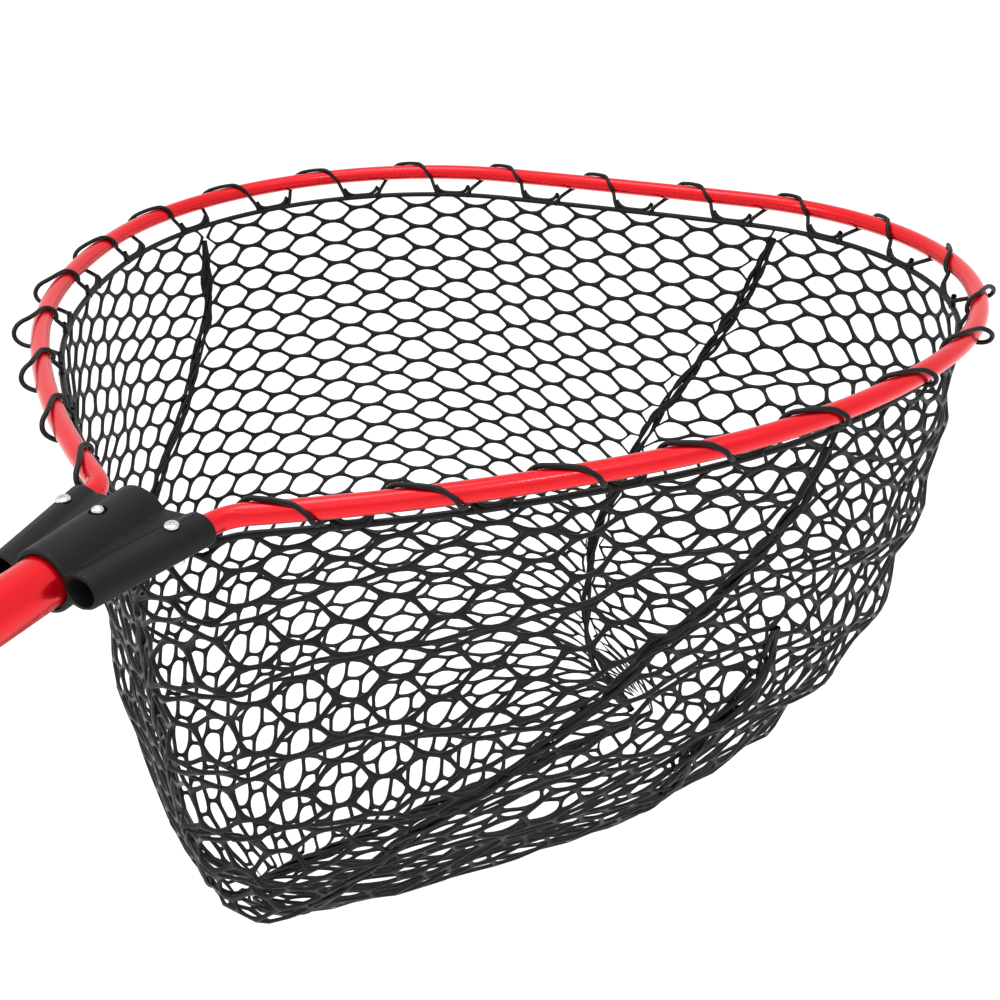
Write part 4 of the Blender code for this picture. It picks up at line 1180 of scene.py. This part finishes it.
# ---- handle -------------------------------------------------------------------------------------
@dataclass
class Handle:
    """The telescopic handle: two tubes, foam grip, butt cap and twist lock."""

    finishes: Finishes
    front_radius: float = 14.1
    front: tuple = (-122.0, 585.0)
    rear_radius: float = 15.9
    rear: tuple = (-146.0, 380.0)
    grip_half: float = 130.0
    grip_radius: float = 19.6
    cap_end: float = -154.0
    cap_radius: float = 20.4
    collar: tuple = (361.0, 424.0)
    collar_radius: float = 21.0
    sides: int = 96

    def ring(self, name: str, profile: list[tuple[float, float]], slot: str, body: Body, node: str,
             ease: float = 0.6, **shape: float) -> bpy.types.Object:
        """A closed profile turned into a ring."""
        outline = rounded(profile, ease, 4, closed=True)
        points = turned(outline, self.sides, **shape)
        faces = grid_faces(len(outline), self.sides, wrap_rows=True)
        return mesh_piece(name, points, oriented(points, faces), self.finishes.by_slot[slot], body,
                          (node,), sharp=60.0)

    def tubes(self) -> None:
        """The two drawn tubes, with eased ends and open bores."""
        for name, node, (x0, x1), r, wall, body in (
                ("front_tube", "handle_front_tube", self.front, self.front_radius, 1.2, Body.HEAD),
                ("rear_tube", "handle_rear_tube", self.rear, self.rear_radius, 1.35, Body.GRIP)):
            cuts = np.linspace(x0, x1, 9)[1:-1]
            profile = [(x0, r)] + [(x, r) for x in cuts] + [(x1, r), (x1, r - wall), (x0, r - wall)]
            self.ring(name, profile, "red_anodised", body, node, 0.3)

    def grip(self) -> None:
        """The foam sleeve: a waisted outline with five finger grooves and a ribbed rear."""
        skin, half, r = self.rear_radius + 0.3, self.grip_half, self.grip_radius
        x = np.linspace(-half + 2, half - 2, 260)
        share = (x + half) / (2 * half)
        swell = 0.55 * np.cos((share - 0.12) * 2.2 * math.pi)
        ribs = -0.55 * np.exp(-(((x + 96) % 9.0 - 4.5) / 1.1) ** 2) * ((x > -108) & (x < -54))
        rings = -0.7 * np.exp(-(((x - 20) % 18.0 - 9.0) / 1.8) ** 2) * ((x > 2) & (x < 110))
        ends = -1.8 * (1 - smoothstep((half - abs(x)) / 5.0))
        outer = list(zip(x, r - 0.15 + swell + ribs + rings + ends))
        profile = [(-half, skin), (-half, r - 2.4)] + outer + [(half, r - 3.0), (half, skin)]
        points = turned(np.array(profile), self.sides)
        faces = grid_faces(len(profile), self.sides, wrap_rows=True)
        mesh_piece("grip_foam", points, oriented(points, faces),
                   self.finishes.by_slot["grip_foam"], Body.GRIP, ("grip_sleeve",), sharp=60.0)
        self.ring("grip_end_ring", [(half + 0.3, skin), (half + 0.3, r - 0.6), (half + 4, r - 0.2),
                                    (half + 8, r - 1.4), (half + 10, skin + 0.8),
                                    (half + 10, skin)], "black_plastic", Body.GRIP, "grip_ring")

    def lock(self) -> None:
        """The twist lock: a seat on the rear tube and a fluted collar over it."""
        tube = self.rear_radius + 0.3
        start, end = self.collar
        front, r = self.front_radius, self.collar_radius
        self.ring("lock_seat", [(start - 16, tube), (start - 16, tube + 1.8), (start - 13, tube + 3),
                                (start - 9.2, tube + 3), (start - 8.4, tube + 2.3),
                                (start - 6.6, tube + 2.3), (start - 5.8, tube + 3),
                                (start - 2, tube + 3), (start - 2, tube + 1.2),
                                (self.rear[1] + 1, tube + 1.2), (self.rear[1] + 1, tube)],
                  "black_plastic", Body.GRIP, "lock_base", 0.5)
        inside = tube + 1.65
        grip_run = [(x, r) for x in np.linspace(start + 2.5, end - 18, 12)]
        self.ring("lock_knob", [(start, inside), (start, r - 1.4)] + grip_run
                  + [(end - 15, r - 1.6), (end - 3, front + 3.4), (end, front + 2.2),
                     (end, front + 0.7), (end - 5, front + 0.7), (end - 16, inside)],
                  "black_plastic", Body.COLLAR, "lock_collar", 0.9, flutes=12, depth=0.045,
                  crown=r - 0.9)

    def cap(self) -> None:
        """The butt cap: a domed rim round a flat end, with shallow grip rings."""
        bore = self.rear_radius - 1.65
        mouth, skirt = -self.grip_half - 0.3, self.rear_radius + 0.3
        end, r = self.cap_end, self.cap_radius
        profile = [(end, 0.01), (end, 14.0), (end + 2.2, 17.6), (end + 6, r - 0.8)]
        for x in (end + 9.5, end + 13.5):
            profile += [(x, r - 0.4), (x + 0.6, r - 1.0), (x + 1.6, r - 1.0), (x + 2.2, r - 0.3)]
        profile += [(mouth - 3, r), (mouth, r - 1.0), (mouth, skirt), (end + 8, skirt),
                    (end + 8, bore), (mouth - 4, bore), (mouth - 4, 0.01)]
        outline = rounded(profile, 0.9, 4)
        points = turned(outline, self.sides)
        points, faces = capped(points, len(outline), self.sides)
        mesh_piece("butt_end", points, oriented(points, faces),
                   self.finishes.by_slot["black_plastic"], Body.GRIP, ("butt_cap",), sharp=60.0)

    def build(self) -> None:
        """Make every piece of the handle."""
        self.tubes()
        self.grip()
        self.lock()
        self.cap()


# ---- studio -------------------------------------------------------------------------------------
@dataclass
class Studio:
    """A pale floor, soft lights and the camera."""

    eye: tuple = (0.1120, -0.4647, 0.3427)
    ahead: tuple = (0.7787, 0.4135, -0.4718)
    up: tuple = (0.4345, 0.1870, 0.8811)
    lens: float = 50.24

    def floor(self) -> None:
        """A wide pale floor, far enough under the bag for its shadow to stay faint."""
        level, half = CAD_BOX[0].z - 0.45, 14.0
        mesh = bpy.data.meshes.new("floor")
        mesh.from_pydata([(-half, -half, level), (half, -half, level), (half, half, level),
                          (-half, half, level)], [], [(0, 1, 2, 3)])
        g = Graph("floor")
        g.set(Base_Color=g.blend(g.noise(g.place(), 3.0), (0.93, 0.93, 0.93), (0.95, 0.95, 0.95)),
              Roughness=0.9, Specular_IOR_Level=0.1)
        mesh.materials.append(g.material)
        floor = bpy.data.objects.new("floor", mesh)
        bpy.context.scene.collection.objects.link(floor)

    def light(self, name: str, place: tuple, aim: tuple, size: float, power: float) -> None:
        """A square soft box."""
        lamp = bpy.data.lights.new(name, "AREA")
        lamp.shape, lamp.size, lamp.energy = "SQUARE", size, power
        made = bpy.data.objects.new(name, lamp)
        made.location = place
        made.rotation_euler = (Vector(aim) - Vector(place)).to_track_quat("-Z", "Y").to_euler()
        bpy.context.scene.collection.objects.link(made)

    def build(self) -> None:
        """Set the stage."""
        scene = bpy.context.scene
        self.floor()
        world = bpy.data.worlds.new("studio")
        world.use_nodes = True
        world.node_tree.nodes["Background"].inputs[0].default_value = (1.0, 1.0, 1.0, 1.0)
        world.node_tree.nodes["Background"].inputs[1].default_value = 0.92
        scene.world = world
        target = (0.85, 0.0, -0.1)
        self.light("overhead", (0.9, 0.4, 2.3), target, 1.2, 22.0)
        self.light("window", (-0.6, 1.9, 1.5), target, 0.5, 12.0)
        self.light("strip", (0.2, -1.3, 1.6), target, 0.25, 5.0)
        sky = bpy.data.lights.new("sky", "SUN")
        sky.energy, sky.angle = 0.9, 75.0 * DEG
        made = bpy.data.objects.new("sky", sky)
        made.rotation_euler = (12.0 * DEG, -14.0 * DEG, 0.0)
        scene.collection.objects.link(made)
        ahead, up = Vector(self.ahead).normalized(), Vector(self.up).normalized()
        right = ahead.cross(up)
        turn = Matrix((right, up, -ahead)).transposed().to_4x4()
        lens = bpy.data.cameras.new("camera")
        lens.lens, lens.sensor_width, lens.clip_start = self.lens, 36.0, 0.01
        camera = bpy.data.objects.new("camera", lens)
        camera.matrix_world = Matrix.Translation(self.eye) @ turn
        scene.collection.objects.link(camera)
        scene.camera = camera
        scene.view_settings.view_transform = "Standard"


def main() -> None:
    """Build the net, piece by piece."""
    logging.basicConfig(level=logging.INFO, format="%(name)s %(message)s")
    Studio().build()
    finishes = Finishes()
    finishes.dress_frame()
    rubber = finishes.by_slot["net_rubber"]
    outline = HoopOutline()
    Hoop(outline, finishes.by_slot["red_anodised"]).build()
    yoke = Yoke(outline, finishes.by_slot["black_plastic"], finishes.by_slot["bright_steel"])
    yoke.body()
    yoke.fasteners()
    yoke.spring()
    Handle(finishes).build()
    bag = Bag(outline)
    rear = ((0.03, 0.0), (0.045, 1.0))
    left = ((0.300, 0.0), (0.295, 0.12), (0.270, 0.23), (0.222, 0.34), (0.200, 0.42), (0.153, 0.56),
            (0.121, 0.68), (0.10, 0.82), (0.09, 1.0))
    front = ((0.572, 0.0), (0.562, 0.12), (0.548, 0.24), (0.531, 0.34), (0.510, 0.45), (0.488, 0.56),
             (0.452, 0.69), (0.425, 0.80), (0.385, 0.90), (0.35, 1.0))
    right = ((0.80, 0.0), (0.812, 0.08), (0.838, 0.17), (0.860, 0.24), (0.884, 0.35), (0.904, 0.44),
             (0.928, 0.54), (0.942, 0.65), (0.956, 0.78), (0.965, 1.0))
    panels = (
        ("netting_left", rear, left, 0.17, Fold(2.5, 0.0, seed=11)),
        ("netting_front", left, front, 0.43, Fold(2.0, 0.0, seed=23)),
        ("netting_right", front, right, 0.65, Fold(4.0, 3.0, 66.0, 0.2, 4.0, 1.3, seed=37)),
        ("netting_near", right, tuple((place + 1.0, share) for place, share in rear), 0.91,
         Fold(5.0, 6.0, 62.0, -0.12, 7.0, 1.8, seed=41)))
    for name, start, end, middle, fold in panels:
        Netting(bag, rubber, name, start, end, middle, fold).build()
    lacing = Lacing(outline, bag, rubber)
    lacing.selvedge()
    for number in range(lacing.count):
        lacing.loop(number)
    for k, (name, seam) in enumerate((("rear", rear), ("left", left), ("front", front),
                                      ("right", right))):
        route = ((seam_place(seam, 0.02), 0.02),) + seam[1:-1] + ((seam_place(seam, 0.985), 0.985),)
        Gather(bag, rubber, "gather_" + name, route, seed=60 + k, nodes=("seam_" + name,)).build()
    bunch = ((0.812, 0.25), (0.812, 0.36), (0.826, 0.43), (0.812, 0.56), (0.812, 0.66))
    Gather(bag, rubber, "gather_bunch", bunch, strands=8, spread=6.0, lift=2.0, seed=71).build()
    Gather(bag, rubber, "gather_keel", (), strands=7, spread=3.4, seed=72, nodes=("seam_keel",),
           keel=True).build()


if __name__ == "__main__":
    main()
